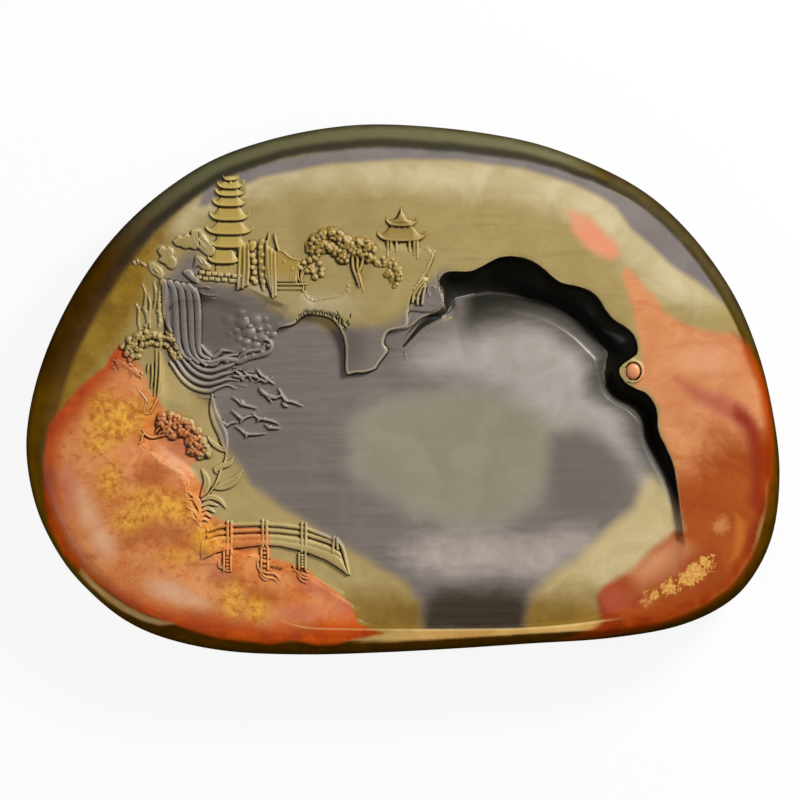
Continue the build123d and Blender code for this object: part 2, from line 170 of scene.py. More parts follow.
outlinePixels = [
    (392, 124), (480, 132), (555, 149), (634, 185), (687, 230), (731, 290), (757, 350), (772, 410),
    (779, 470), (773, 530), (753, 575), (723, 605), (674, 626.5), (605, 638), (530, 643), (455, 648),
    (380, 652), (305, 654), (230, 651), (169, 639), (125, 620), (88, 590), (60, 556.5), (36.5, 509),
    (26, 455), (30, 405), (46, 350), (73, 293.6), (107, 244), (151, 200), (207, 162), (266, 140),
    (330, 127),
]
# the edge of everything that is sunk: scalloped wall of the pool, lip, banks, falls and cliff
brinkPixels = [
    (443, 302), (438, 287), (439, 279), (447, 272), (468, 271.5), (478, 268), (490, 261.5), (500, 257.4),
    (513, 256.5), (528, 259.9), (539.5, 266.5), (551, 276.4), (561, 283), (579, 287), (591, 292.5),
    (598.5, 300), (604, 309.5), (612.5, 319.5), (624, 327), (632, 334.5), (636, 346), (635, 354),
    (629, 359.5), (620, 364), (618, 372.5), (624, 382), (634, 388), (644, 392.5), (652, 402),
    (655.5, 412.5), (657, 431), (665, 448), (672, 466), (676, 490), (678.8, 512), (682, 535), (684, 548),
    (679, 568), (662, 592), (640, 611.5), (600, 619), (560, 624), (520, 626.8), (470, 627.6), (400, 627.8),
    (350, 627.3), (310, 626), (288, 621), (270, 612), (258, 598), (243, 578), (223, 562), (207, 547),
    (203, 536), (200, 525), (196, 515), (190, 505), (189, 490), (186, 478), (178, 469.5), (170, 465.5),
    (161, 458), (151, 452), (144, 445), (144, 430), (147, 412), (156, 402), (161, 385), (161, 355),
    (162, 327), (162, 300), (163, 283), (184, 284.5), (200, 287), (212, 283), (240, 284), (270, 298),
    (300, 308), (345, 310), (409, 310), (430, 311),
]
# the foot of the same edge: the trough of the pool, the foot of the lip, banks and slopes
footPixels = [
    (453, 304), (455.5, 299), (463, 296.8), (476.5, 294), (491.5, 292.3), (508, 293.8), (526, 297.2),
    (544.5, 302), (562.5, 311.3), (579, 322.5), (592.5, 334.5), (600.5, 344.5), (606, 352.7), (604, 363),
    (603.3, 374.3), (607, 387.5), (616, 397.5), (630.5, 404), (639, 411), (643.7, 421), (646, 437),
    (656, 456), (665.5, 474), (672.6, 492), (677, 512), (680.6, 532), (668, 543), (652, 562), (638, 580),
    (625, 604), (598, 613), (560, 620), (520, 623), (470, 624), (400, 624), (370, 622), (357, 612),
    (348, 602), (330, 588), (305, 573), (272, 560), (240, 553), (222, 545), (210, 538), (206, 525),
    (202, 512), (195, 502), (194, 490), (191, 476), (181, 466), (172, 461), (163, 454), (153, 447),
    (148.5, 440), (148.5, 430), (152, 417), (160, 408), (165, 392), (164.5, 355), (165, 335), (166, 320),
    (170, 310), (183, 303), (205, 304), (230, 309), (255, 314), (285, 317), (315, 317), (345, 315),
    (409, 314), (428, 316), (441, 316), (450.5, 309),
]
# where the slope down to the trough begins; elsewhere a line just inside the foot
crestPixels = [
    (464, 318), (484, 312), (510, 313), (535, 319), (555, 328), (571, 339), (583, 351), (592, 361),
    (596, 375), (601, 392), (612, 403), (626, 411), (636, 422), (638, 438), (646, 458), (656, 478),
    (664, 500), (669, 520), (668, 535), (660, 550), (645, 568), (628, 584), (600, 602), (560, 612),
    (520, 616), (470, 617), (400, 617), (350, 600), (310, 580), (260, 562), (220, 535), (210, 512),
    (204, 490), (198, 470), (180, 455), (160, 438), (160, 425), (172, 400), (173, 355), (178, 330),
    (182, 316), (195, 310), (218, 312), (243, 317), (268, 321), (296, 324), (322, 325), (345, 327),
    (409, 324), (433, 327), (448, 325),
]
# pixel and height in mm of the foot
footLevels = [
    (453, 304, 23.8), (463, 297, 21.6), (474, 294.5, 19.9), (492, 292, 18.6), (545, 302, 18.6),
    (592, 334, 19.2), (606, 353, 21), (604, 370, 22.6), (616, 397, 22.4), (639, 411, 21.6),
    (646, 437, 22.4), (656, 456, 23.2), (665, 474, 24.0), (673, 492, 25.2), (677, 512, 26.2),
    (680, 530, 26.7), (679, 542, 27.0), (645, 588, 27.1), (520, 623, 27.0), (370, 622, 27.2),
    (345, 600, 27.8), (305, 573, 28.4), (240, 553, 28.6), (202, 512, 28.6), (194, 480, 28.4),
    (163, 454, 28.3), (152, 417, 28.2), (160, 408, 28.0), (165, 380, 27.4), (165, 352, 27.0),
    (170, 310, 27.0), (183, 303, 27.1), (230, 309, 27.3), (285, 317, 27.3), (345, 315, 27.0),
    (409, 314, 27.0), (428, 316, 26.9), (441, 316, 26.4), (447, 312, 25.3),
]
# pixel and width in mm of the rounded rim
rimWidths = [
    (392, 124, 9.5), (480, 132, 9.0), (555, 149, 7.5), (634, 185, 6.0), (687, 230, 5.5), (731, 290, 5.0),
    (757, 350, 4.5), (779, 470, 4.5), (773, 530, 5.0), (753, 575, 5.0), (723, 605, 4.8), (674, 626, 4.2),
    (605, 638, 3.8), (530, 643, 4.0), (455, 648, 4.4), (380, 652, 4.8), (305, 654, 5.4), (230, 651, 6.5),
    (125, 620, 9.0), (60, 556, 10.0), (26, 455, 10.5), (46, 350, 11.0), (107, 244, 11.0), (151, 200, 10.0),
    (207, 162, 9.0), (266, 140, 9.0), (330, 127, 9.5),
]
# how crisp the brink is: 1 a worked edge, 0 a slope that fades away
brinkCrisps = [
    (443, 302, 1), (409, 310, 0.4), (345, 310, 0.2), (270, 298, 0), (240, 284, 0), (216, 283, 0.1),
    (196, 286, 0.8), (162, 300, 1), (144, 430, 1), (203, 536, 1), (223, 562, 0.4), (243, 578, 0),
    (270, 613, 0), (288, 621, 0.5), (310, 626, 0.9), (345, 627, 1), (380, 627.8, 1), (600, 619, 1),
    (640, 611, 0), (683, 541, 0), (681, 530, 1), (618, 372, 1), (513, 256, 1),
]
# the groove between the shelf and the lip beyond it
groovePixels = [
    (449, 303), (445.5, 309), (438, 315), (428.5, 320.5), (420, 326.5), (413.5, 334), (407.5, 341),
    (403, 346),
]
outlineLoop = smoothLine(plan(outlinePixels), True, 6)
brinkCrisp = levelsAboutPole(brinkCrisps)
outline = aboutPole(outlinePixels)
groove = smoothLine(plan(groovePixels), False, 4)
brink = aboutPole(brinkPixels)
foot = aboutPole(footPixels)
crest = aboutPole(crestPixels)
footLevel = levelsAboutPole(footLevels)
rimWidth = levelsAboutPole(rimWidths)


def fieldFloor(x, y):
    # the flat field, with a shallow bowl sunk in it: depth * (1 - (r / radius)^2)^power
    out = np.hypot(x - dishSpot[0], y - dishSpot[1]) / stone["dishRadius"]
    return stone["field"] - stone["dishDepth"] * np.clip(1 - out ** 2, 0, 1) ** stone["dishPower"]


def quarter(t):
    # a quarter circle from 0 to 1: 1 - sqrt(1 - t^2)
    return 1 - np.sqrt(1 - t ** 2)


def stoneTop(x, y, gap=None):
    # the slab's upper surface, by angle and radius about the pole:
    # floor, then a slope that steepens (t^power) to the foot, then a hollow wall up to the brink,
    # then the top, which dips a little and turns down at the rim in a quarter round
    angle, radius = polar(x, y)
    rCrest, rFoot, rBrink = [byAngle(angle, curve) for curve in (crest, foot, brink)]
    low = byAngle(angle, footLevel)
    if gap is None:
        gap = insideBy(x, y, outlineLoop)
    floor = fieldFloor(x, y)
    slope = np.clip((radius - rCrest) / np.maximum(rFoot - rCrest, 0.1), 0, 1)
    bed = floor + (low - floor) * slope ** stone["slopePower"]
    climb = np.clip((radius - rFoot) / np.maximum(rBrink - rFoot, 0.1), 0, 1)
    hollow = ease((stone["field"] - low) / stone["hollowDepth"])
    rise = (1 - hollow) * ease(climb) + hollow * quarter(climb)
    dip = stone["dip"] * ease((gap - stone["dipStart"]) / stone["dipRun"])
    inward = np.clip(gap / byAngle(angle, rimWidth), 0, 1)
    plain = stone["top"] - dip - stone["rimDrop"] * quarter(1 - inward)
    crisp = stone["crispDrop"] * byAngle(angle, brinkCrisp)
    beyond = np.clip(1 - (radius - rBrink) / stone["crispWidth"], 0, 1)
    plain = plain - crisp * beyond ** 2 * (radius > rBrink)
    edge = plain - crisp * (radius <= rBrink)
    wall = low + (edge - low) * rise
    return np.where(radius < rFoot, bed, np.where(radius < rBrink, wall, plain))


def addObject(name, data):
    thing = bpy.data.objects.new(name, data)
    bpy.context.scene.collection.objects.link(thing)
    return thing


def makeMesh(name, vertices, faces, fields=None):
    # millimetres to metres, smooth faces, and one float attribute for each field
    mesh = bpy.data.meshes.new(name)
    mesh.from_pydata((vertices * millimetre).tolist(), [], faces)
    mesh.polygons.foreach_set("use_smooth", np.ones(len(mesh.polygons), bool))
    for key, values in (fields or {}).items():
        layer = mesh.attributes.new(key, "FLOAT", "POINT")
        layer.data.foreach_set("value", values.astype(np.float32))
    mesh.update()
    return addObject(name, mesh)


def gridFaces(rows, columns, wrap):
    # quads between neighbouring rows and columns of a grid
    across = np.arange(columns if wrap else columns - 1)
    a = (np.arange(rows - 1)[:, None] * columns + across).ravel()
    b = (np.arange(rows - 1)[:, None] * columns + (across + 1) % columns).ravel()
    return np.stack([a, b, b + columns, a + columns], axis=1)


# Colour fields: each outline gives a signed distance, which the stone's shader reads.
zonePixels = {
    "cream": [
        (240, 172), (330, 160), (460, 158), (560, 170), (606, 196), (640, 226), (676, 258), (704, 284),
        (716, 304), (696, 306), (655, 292), (628, 268), (604, 246), (588, 226), (560, 212), (500, 196),
        (400, 188), (300, 190), (240, 200), (190, 222), (162, 238), (186, 206),
    ],
    "gold": [
        (178, 205), (150, 235), (112, 262), (88, 310), (62, 360), (48, 405), (60, 430), (100, 372),
        (122, 345), (135, 320), (150, 290), (158, 262), (170, 235),
    ],
    "mist": [
        (205, 186), (255, 166), (330, 149), (400, 145), (460, 146), (520, 154), (560, 165), (580, 174),
        (600, 184), (619, 194), (639, 205), (656, 216), (671, 229), (686, 245), (700, 261), (718, 284),
        (730, 300), (742, 318), (730, 311), (717, 299), (698, 284), (682, 274), (668, 264), (649, 246),
        (629, 229), (622, 218), (614, 207), (599, 197), (570, 184), (520, 169), (460, 161), (400, 160),
        (329, 165), (262, 178), (225, 195), (198, 212),
    ],
    "shade": [
        (215, 168), (180, 184), (150, 206), (120, 234), (96, 262), (72, 296), (58, 330), (62, 342),
        (78, 330), (90, 318), (100, 306), (112, 284), (126, 264), (139, 249), (150, 232), (170, 212),
        (195, 194), (225, 180),
    ],
    "water": [
        (163, 283), (170, 274), (178, 262), (187, 251), (197, 250), (201, 264), (201, 282), (238, 288),
        (262, 302), (280, 314), (306, 320), (330, 331), (345, 325), (372, 327), (398, 319), (412, 302),
        (424, 286), (440, 272), (470, 262), (515, 250), (560, 275), (605, 295), (645, 340), (640, 370),
        (652, 392), (672, 420), (682, 470), (690, 520), (684, 530), (674, 505), (662, 480), (652, 470),
        (644, 478), (640, 492), (632, 509), (609, 526), (586, 546), (574, 560), (552, 572), (530, 592),
        (522, 640), (422, 640), (419, 600), (404, 582), (378, 567), (350, 549), (328, 534), (305, 518),
        (278, 501), (254, 483), (240, 464), (228, 447), (222, 430), (217, 410), (212, 394), (198, 386),
        (184, 374), (170, 360), (162, 350),
    ],
    "sheen": [
        (425, 350), (455, 336), (500, 327), (545, 330), (580, 352), (592, 385), (620, 408), (640, 436),
        (656, 470), (654, 492), (642, 484), (632, 466), (612, 448), (592, 432), (572, 424), (556, 428),
        (535, 412), (500, 388), (460, 378), (430, 372), (410, 362),
    ],
    "eye": [
        (350, 420), (354, 455), (357, 474), (375, 488), (396, 501), (423, 516), (460, 525), (492, 524),
        (516, 514), (534, 498), (546, 480), (552, 455), (575, 432), (588, 408), (565, 398), (520, 392),
        (470, 388), (425, 394), (385, 402),
    ],
    "dusk": [
        (551, 434), (576, 431), (602, 444), (620, 462), (630, 482), (626, 500), (603, 515), (575, 518),
        (553, 505), (548, 468),
    ],
    "umber": [
        (424, 596), (440, 588), (470, 588), (500, 586), (522, 592), (530, 606), (528, 632), (418, 632),
    ],
    # painted sheen, low on the field
    "drift": [
        (396, 548), (430, 536), (470, 530), (505, 534), (535, 536), (566, 526), (590, 528), (586, 546),
        (566, 564), (545, 574), (515, 573), (480, 570), (450, 574), (420, 570),
    ],
    "strip": [
        (82, 567), (95, 581), (110, 593), (128, 605), (146, 614), (162, 619), (176, 622), (160, 624),
        (142, 619), (124, 610), (106, 598), (92, 586), (80, 572),
    ],
    # a dark band along the headland's south edge: painted shade under the step, over the carved scrub
    "thicket": [
        (296, 322), (299, 314), (306, 310), (316, 308.5), (328, 310), (337, 313), (344, 320), (348, 331),
        (342, 328), (337, 321), (328, 317), (318, 315.5), (308, 316), (302, 320),
    ],
    "night": [
        (606, 172), (650, 190), (696, 228), (732, 276), (756, 336), (752, 350), (742, 326), (718, 288),
        (692, 254), (664, 226), (634, 200), (608, 186),
    ],
    "streak": [(734, 512), (742, 520), (742, 540), (736, 556), (728, 560), (733, 540)],
    "bank": [
        (120, 344), (128, 353), (140, 364), (147, 378), (150, 391), (160, 398), (163, 408), (178, 411),
        (196, 422), (205, 436), (208, 450), (202, 458), (192, 462), (190, 468), (197, 476), (203, 484),
        (206, 494), (202, 502), (208, 512), (222, 520), (245, 526), (268, 528), (272, 545), (270, 556),
        (290, 562), (307, 568), (318, 578), (337, 591), (350, 602), (355, 613), (357, 622), (382, 632),
        (352, 638), (336, 643), (316, 644), (293, 638), (271, 643), (219, 637), (169, 621), (136, 609),
        (110, 591), (86, 574), (63, 553), (50, 524), (45, 493), (45, 455), (50, 425), (58, 414), (68, 402),
        (76, 391), (88, 380), (105, 367), (112, 355),
    ],
    "bankHeart": [
        (120, 366), (140, 352), (175, 390), (215, 415), (235, 455), (222, 480), (240, 505), (290, 515),
        (324, 552), (354, 582), (362, 606), (345, 620), (270, 624), (219, 616), (161, 606), (119, 587),
        (90, 567), (74, 544), (62, 516), (62, 490), (58, 465), (62, 440), (76, 420), (95, 396),
    ],
    "east": [
        (624, 268), (634, 276), (648, 290), (660, 309), (682, 324), (708, 331), (731, 334), (746, 345),
        (757, 366), (767, 390), (771, 417), (771, 441), (770, 474), (765, 502), (755, 535), (750, 558),
        (737, 577), (730, 586), (708, 602), (685, 614), (659, 624), (609, 633), (556, 640), (590, 628),
        (600, 620), (597, 606), (596, 596), (602, 585), (615, 578), (630, 570), (650, 549), (672, 531),
        (683, 530), (676, 500), (674, 470), (660, 435), (658, 405), (645, 390), (633, 386), (641, 360),
        (637, 335), (631, 305), (622, 276),
    ],
    "eastHeart": [
        (600, 240), (700, 300), (738, 342), (748, 366), (757, 392), (762, 420), (762, 470), (756, 502),
        (745, 535), (738, 556), (726, 574), (700, 594), (672, 606), (640, 614), (606, 610), (596, 590),
        (600, 560), (650, 520), (600, 400),
    ],
    "redVein": [
        (734, 406), (749, 414), (759, 432), (762, 456), (761, 484), (755, 508), (748, 504), (750, 478),
        (748, 450), (742, 430), (730, 415),
    ],
    "smear": [
        (674, 378), (690, 384), (706, 391), (726, 398), (744, 408), (752, 420), (746, 430), (728, 420),
        (710, 410), (694, 402),
    ],
    "ringOne": [
        (662, 346), (690, 340), (720, 341), (738, 350), (748, 372), (744, 372), (735, 354), (718, 345),
        (690, 344), (664, 350),
    ],
    "redSpot": [
        (567, 212), (584, 216), (600, 229), (615, 245), (618, 256), (608, 259), (594, 254), (583, 246),
        (573, 233),
    ],
    "lobe": [
        (598, 590), (612, 582), (628, 584), (640, 592), (636, 606), (620, 616), (602, 618), (596, 604),
    ],
    "glow": [(628, 572), (652, 550), (676, 538), (690, 548), (676, 566), (656, 580), (640, 588)],
    "green": [
        (200, 400), (214, 412), (221, 440), (234, 470), (262, 500), (300, 521), (340, 548), (378, 568),
        (410, 588), (416, 605), (412, 628), (360, 628), (340, 600), (305, 572), (268, 550), (262, 520),
        (215, 515), (206, 500), (196, 470), (208, 452), (205, 425), (185, 408), (165, 402), (163, 360),
        (182, 378),
    ],
}
# soft round patches: centre pixel, half sizes in pixels, turn in degrees
patchPixels = {
    "amber": [
        (118, 420, 34, 20, 20), (112, 478, 12, 16, 0), (163, 504, 36, 15, -12), (181, 556, 14, 8, 0),
        (234, 597, 12, 22, 10), (210, 536, 18, 12, 0), (98, 445, 14, 10, 0), (255, 610, 12, 14, 0),
        (132, 520, 17, 12, 10), (100, 405, 16, 14, 0),
    ],
    # painted shadow below the streams
    "dusky": [(196, 399, 28, 10, 3), (240, 392, 14, 5, 0)],
    "murk": [(222, 326, 26, 26, 0), (206, 300, 10, 20, 0), (352, 345, 12, 26, 0)],
    "milk": [(322, 305, 34, 12, 0), (262, 292, 28, 11, 20), (236, 282, 14, 8, 0)],
    "fleck": [(692, 572, 17, 10, 35), (668, 586, 12, 7, 25), (651, 594, 9, 6, 20), (703, 562, 8, 9, 0)],
    "pale": [(718, 524, 10, 10, 0), (684, 449, 14, 8, 10), (678, 441, 7, 6, 0), (646, 599, 8, 6, 0)],
    "blush": [
        (68, 488, 10, 22, 0), (300, 612, 24, 9, 0), (610, 596, 14, 10, 0), (344, 606, 12, 11, 0),
        (318, 588, 20, 7, -25), (176, 446, 10, 8, 0), (222, 572, 12, 5, -20),
    ],
    # painted glare: pale highlights on the bank and on the right
    "haze": [
        (88, 510, 10, 22, 25), (104, 540, 10, 16, 30), (172, 590, 24, 9, -22), (198, 601, 12, 6, -15),
        (176, 462, 12, 6, -30), (700, 360, 26, 12, 0), (655, 560, 18, 7, 35),
    ],
    "earth": [
        (165, 532, 30, 9, -5), (150, 475, 16, 13, 0), (225, 578, 14, 9, 0), (262, 596, 22, 12, 10),
        (200, 545, 16, 8, 0),
    ],
}
zoneLoops = {key: plan(points) for key, points in zonePixels.items()}


def colourFields(x, y, gap):
    # signed distances in mm, one for each zone; a patch counts (1 - out) times its smaller half size
    fields = {key: insideBy(x, y, loop) for key, loop in zoneLoops.items()}
    for key, rows in patchPixels.items():
        best = np.full(x.shape, -60.0)
        for px, py, long, short, turn in rows:
            cx, cy = plan([(px, py)])[0]
            c, s = math.cos(math.radians(turn)), math.sin(math.radians(turn))
            u, v = (x - cx) * c + (y - cy) * s, (y - cy) * c - (x - cx) * s
            a, b = long * scale, short * scale
            best = np.maximum(best, (1 - np.hypot(u / a, v / b)) * min(a, b))
        fields[key] = best
    angle, radius = polar(x, y)
    fields["rim"] = gap / byAngle(angle, rimWidth)
    fields["gap"] = gap
    fields["sunk"] = byAngle(angle, brink) - radius
    fields["trough"] = byAngle(angle, foot) - radius
    fields["deep"] = np.clip((stone["field"] - byAngle(angle, footLevel)) / stone["stainDepth"], 0, 1)
    fields["crisp"] = byAngle(angle, brinkCrisp)
    away, share = toLine(x, y, groove)
    fields["groove"] = stone["grooveHalf"] - stone["grooveTaper"] * share - away
    return fields


def blurred(values, reach):
    # mean over a square of 2 * reach + 1 cells, from running sums
    for axis in (0, 1):
        padded = np.pad(values, [(reach + 1, reach) if a == axis else (0, 0) for a in (0, 1)], mode="edge")
        sums = np.cumsum(padded, axis=axis)
        count = values.shape[axis]
        ahead = np.take(sums, np.arange(2 * reach + 1, 2 * reach + 1 + count), axis=axis)
        behind = np.take(sums, np.arange(count), axis=axis)
        values = (ahead - behind) / (2 * reach + 1)
    return values


def shell(x, y, z, shown):
    # a closed shell over the cells that touch the shown points: top, a copy below, and walls
    rows, columns = x.shape
    keep = shown[:-1, :-1] | shown[1:, :-1] | shown[:-1, 1:] | shown[1:, 1:]
    padded = np.pad(keep, 1)
    near = sum(
        padded[1 + i:rows + i, 1 + j:columns + j].astype(int) for i in (-1, 0, 1) for j in (-1, 0, 1)
    )
    keep = near > 0
    number = np.arange(rows * columns).reshape(rows, columns)
    a, b, c, d = number[:-1, :-1], number[:-1, 1:], number[1:, 1:], number[1:, :-1]
    top = np.stack([a[keep], b[keep], c[keep], d[keep]], axis=1)
    under = top[:, ::-1] + rows * columns
    padded = np.pad(keep, 1)
    walls = []
    for shiftRow, shiftColumn, first, second in ((-1, 0, a, b), (1, 0, c, d), (0, -1, d, a), (0, 1, b, c)):
        bare = keep & ~padded[1 + shiftRow:rows + shiftRow, 1 + shiftColumn:columns + shiftColumn]
        p, q = first[bare], second[bare]
        walls.append(np.stack([q, p, p + rows * columns, q + rows * columns], axis=1))
    faces = np.concatenate([top, under] + walls)
    used = np.unique(faces)
    place = np.full(2 * rows * columns, -1)
    place[used] = np.arange(len(used))
    cell = used % (rows * columns)
    level = np.where(used < rows * columns, z.ravel()[cell], z.ravel()[cell] - relief["shellDepth"])
    vertices = np.stack([x.ravel()[cell], y.ravel()[cell], level], axis=1)
    return vertices, place[faces].tolist(), cell


relief = {
    # mm: a skirt of the stone's own surface is shown round each carving, a hair above it
    "skirtWidth": 0.55,
    "skirtLift": 0.035,
    "skirtFrom": 0.1,  # carving lower than this has no skirt
    "skirtShare": 0.02,
    "sink": 0.45,
    "shellDepth": 1.2,
    "calmRun": 6.0,
}


def finishPiece(name, node, vertices, faces, fields):
    piece = makeMesh(name, vertices, faces, fields)
    piece.data.materials.append(stoneMaterial)
    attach(piece, "root")
    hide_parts(node)
    return piece


def drape(name, node, corners, step, shape, finish):
    # a carving: a grid over a rectangle that follows its shape, a thin skirt of the stone
    # round the shape, and sinks just under the stone elsewhere
    (left, high), (right, low) = plan(corners)
    across = np.linspace(left, right, int(round((right - left) / step)) + 1)
    down = np.linspace(low, high, int(round((high - low) / step)) + 1)
    x, y = np.meshgrid(across, down)
    gap = insideBy(x, y, outlineLoop)
    ground = stoneTop(x, y, gap)
    height = shape(x, y, ground)
    standing = height > 0
    reach = max(2, int(round(relief["skirtWidth"] / step)))
    firm = blurred((height > relief["skirtFrom"]).astype(float), reach)
    skirt = (firm > relief["skirtShare"]) & ~standing
    full = np.where(standing, ground + height, ground)
    sunk = ground + np.maximum(height, -relief["sink"])
    z = np.where(standing, full, np.where(skirt, ground + relief["skirtLift"], sunk))
    # painted shade and highlight: what stands over its surroundings and the sides towards the light are
    # painted pale; hollows, the skirt round each carving and the sides away from the light are painted dark
    smooth = blurred(blurred(full, reach), reach)
    bulk = blurred(np.where(standing, height, 0), reach)
    lean = bulk - np.roll(bulk, (-(reach // 2 + 1), -(reach // 2 + 1)), axis=(0, 1))
    ridge = full - smooth + finish.get("lean", 1) * lean
    ridge = ridge * finish.get("share", 1) * np.where(standing, 1, np.clip(4 * firm, 0, 1))
    if "calm" in finish:
        ridge = ridge * ease(toLine(x, y, plan(finish["calm"]))[0] / relief["calmRun"])
    vertices, faces, picked = shell(x, y, z, standing | skirt)
    fields = colourFields(vertices[:, 0], vertices[:, 1], gap.ravel()[picked])
    fields["lift"] = np.where(standing, height, 0).ravel()[picked]
    fields["ridge"] = ridge.ravel()[picked]
    fields["dim"] = np.zeros(len(picked))
    for key, value in finish.get("paint", {}).items():
        fields[key] = np.full(len(picked), float(value))
    for key, value in finish.get("shift", {}).items():
        fields[key] = fields[key] + value
    print("carved", name, len(faces), "highest", round(float(z.max()), 2))
    return finishPiece(name, node, vertices, faces, fields)


# The stone's finish: colour zones with broken edges, grain, mottling and polish.
def tone(red, green, blue):
    # a colour as seen, 0 to 255, to the shader's linear values
    share = np.array([red, green, blue]) / 255
    linear = np.where(share <= 0.04045, share / 12.92, ((share + 0.055) / 1.055) ** 2.4)
    return (*linear, 1.0)


def nodeMaker(tree):
    # gives a function that adds a node with its settings, fills or links its inputs,
    # and returns its outputs
    def make(kind, inputs=None, **settings):
        node = tree.nodes.new("ShaderNode" + kind)
        for key, value in settings.items():
            setattr(node, key, value)
        for key, value in (inputs or {}).items():
            if isinstance(value, bpy.types.NodeSocket):
                tree.links.new(value, node.inputs[key])
            else:
                node.inputs[key].default_value = value
        return node.outputs

    tree.nodes.clear()
    return make


def makeStone():
    # across and back are x and y in metres; the fields are in mm
    material = bpy.data.materials.new("carvedStone")
    material.use_nodes = True
    make = nodeMaker(material.node_tree)
    place = make("TexCoord")["Object"]
    across, back = make("SeparateXYZ", {0: place})[:2]

    def reckon(kind, a, b=0.0):
        return make("Math", {0: a, 1: b}, operation=kind)[0]

    def times(a, b):
        return reckon("MULTIPLY", a, b)

    def add(a, b):
        return reckon("ADD", a, b)

    def without(a, share=1.0):
        return reckon("SUBTRACT", 1.0, times(a, share))

    def noise(size, detail, rough, stretch=(1, 1, 1), turn=0.0, bend=0.0):
        # size is the width of a blotch in mm
        turned = (0, 0, math.radians(turn))
        spot = make("Mapping", {"Vector": place, "Rotation": turned, "Scale": stretch})[0]
        texture = make("TexNoise", {
            "Vector": spot, "Scale": 1000 / size, "Detail": detail, "Roughness": rough,
            "Distortion": bend,
        })
        return reckon("SUBTRACT", texture["Fac"], 0.5)

    def field(name):
        return make("Attribute", attribute_name=name)["Fac"]

    def ramp(value, low, high):
        ends = {"Value": value, "From Min": low, "From Max": high}
        return make("MapRange", ends, interpolation_type="SMOOTHSTEP")[0]

    def paint(colour):
        # a colour as seen, a mottle (noise, reach, one colour, another), or a socket as it is
        if isinstance(colour, bpy.types.NodeSocket):
            return colour
        if len(colour) == 3:
            return tone(*colour)
        blotch, reach, one, other = colour
        return mix(ramp(blotch, -reach, reach), one, other)

    def mix(share, under, over, kind="MIX"):
        inputs = {0: share, 6: paint(under), 7: paint(over)}
        return make("Mix", inputs, data_type="RGBA", blend_type=kind)[2]

    def mixValue(share, under, over):
        return add(times(share, over), times(without(share), under))

    def cover(name, feather, wander, blotch, shift=0.0):
        # a zone's cover: its distance, moved by a noise, eased from -feather to +feather
        return ramp(add(field(name), times(blotch, wander)), shift - feather, shift + feather)

    def zone(under, name, feather, wander, blotch, over, share=1.0, shift=0.0):
        return mix(times(cover(name, feather, wander, blotch, shift), share), under, over)

    def zones(under, *rows):
        # each row lays a colour over a zone: its cover's name, feather, wander and noise, then
        # the colour, how strongly it shows, and a shift of the zone's edge
        for row in rows:
            under = zone(under, *row)
        return under

    def specks(under, *rows):
        # each row lays a colour where a value runs from start to full: value, start, full,
        # strength and colour
        for value, start, full, share, over in rows:
            under = mix(times(ramp(value, start, full), share), under, over)
        return under

    cloud = noise(size=15, detail=5, rough=0.6, bend=0.8)
    blot = noise(size=8, detail=5, rough=0.62)
    crumb = noise(size=2.4, detail=6, rough=0.68)
    fine = noise(size=0.7, detail=3, rough=0.6)
    grain = noise(size=5, detail=5, rough=0.7, stretch=(0.14, 2.4, 1), turn=2.0)
    slant = noise(size=7, detail=5, rough=0.65, stretch=(0.5, 1.6, 1), turn=-35.0, bend=0.6)

    # the level top: khaki with a faint sideways grain, paler behind the rim
    khaki = specks(
        (cloud, 0.25, (158, 137, 82), (172, 151, 96)), (grain, 0.0, 0.22, 0.5, (140, 120, 70)),
        (crumb, 0.05, 0.3, 0.5, (146, 128, 84)), (field("lift"), 0.08, 0.4, 0.8, (178, 150, 66)),
    )
    gold = specks((blot, 0.22, (156, 120, 30), (126, 92, 12)), (crumb, 0.0, 0.3, 0.6, (170, 138, 54)))
    colour = zones(
        khaki, ("cream", 5.5, 4.0, cloud, (cloud, 0.22, (190, 171, 126), (210, 193, 152))),
        ("gold", 5.0, 6.0, blot, gold), ("shade", 4.0, 3.0, cloud, (blot, 0.2, (26, 17, 4), (46, 34, 10))),
        ("milk", 3.5, 3.0, cloud, (180, 163, 128), 0.7),
        ("mist", 1.3, 1.6, cloud, (cloud, 0.2, (122, 113, 110), (136, 126, 120))),
    )

    # the rind: it turns over to olive, with a painted dark reflection along the turn at the far side
    rim = add(field("rim"), times(blot, 0.16))
    # painted light and shade on the rind: brighter at the west end, which turns away from the key lamp, and
    # darker at the east end, which faces it
    westPaintedLight = times(ramp(across, -0.095, -0.112), ramp(back, 0.012, -0.006))
    eastPaintedShade = times(ramp(across, 0.05, 0.075), ramp(back, 0.0, 0.03))
    rind = mix(westPaintedLight, (blot, 0.2, (70, 42, 0), (86, 55, 2)), (blot, 0.2, (116, 80, 2), (96, 64, 4)))
    # the far rind is paler grey-olive: its own tone, and painted light on the side lit from behind
    rind = mix(ramp(back, 0.040, 0.074), rind, (100, 97, 68))
    rind = mix(eastPaintedShade, rind, (blot, 0.2, (78, 60, 10), (62, 50, 12)))
    farSide = ramp(back, 0.035, 0.066)
    colour = mix(mixValue(farSide, ramp(rim, 1.1, 0.86), ramp(rim, 0.98, 0.76)), colour, rind)
    # painted reflection: a dark line where the far rim turns tightly over
    turnReflection = times(times(ramp(rim, 0.42, 0.70), ramp(rim, 1.02, 0.80)), ramp(back, 0.02, 0.06))
    colour = mix(times(turnReflection, 0.85), colour, (44, 38, 28))
    colour = zones(colour, ("night", 1.6, 1.6, blot, (blot, 0.2, (60, 52, 34), (78, 66, 36)), 0.9))
    lip = times(ramp(back, -0.0775, -0.0790), ramp(add(across, times(blot, 0.02)), -0.020, 0.010))
    lip = times(lip, ramp(add(field("gap"), blot), 3.3, 4.6))
    colour = mix(lip, colour, (cloud, 0.2, (216, 170, 100), (190, 144, 74)))
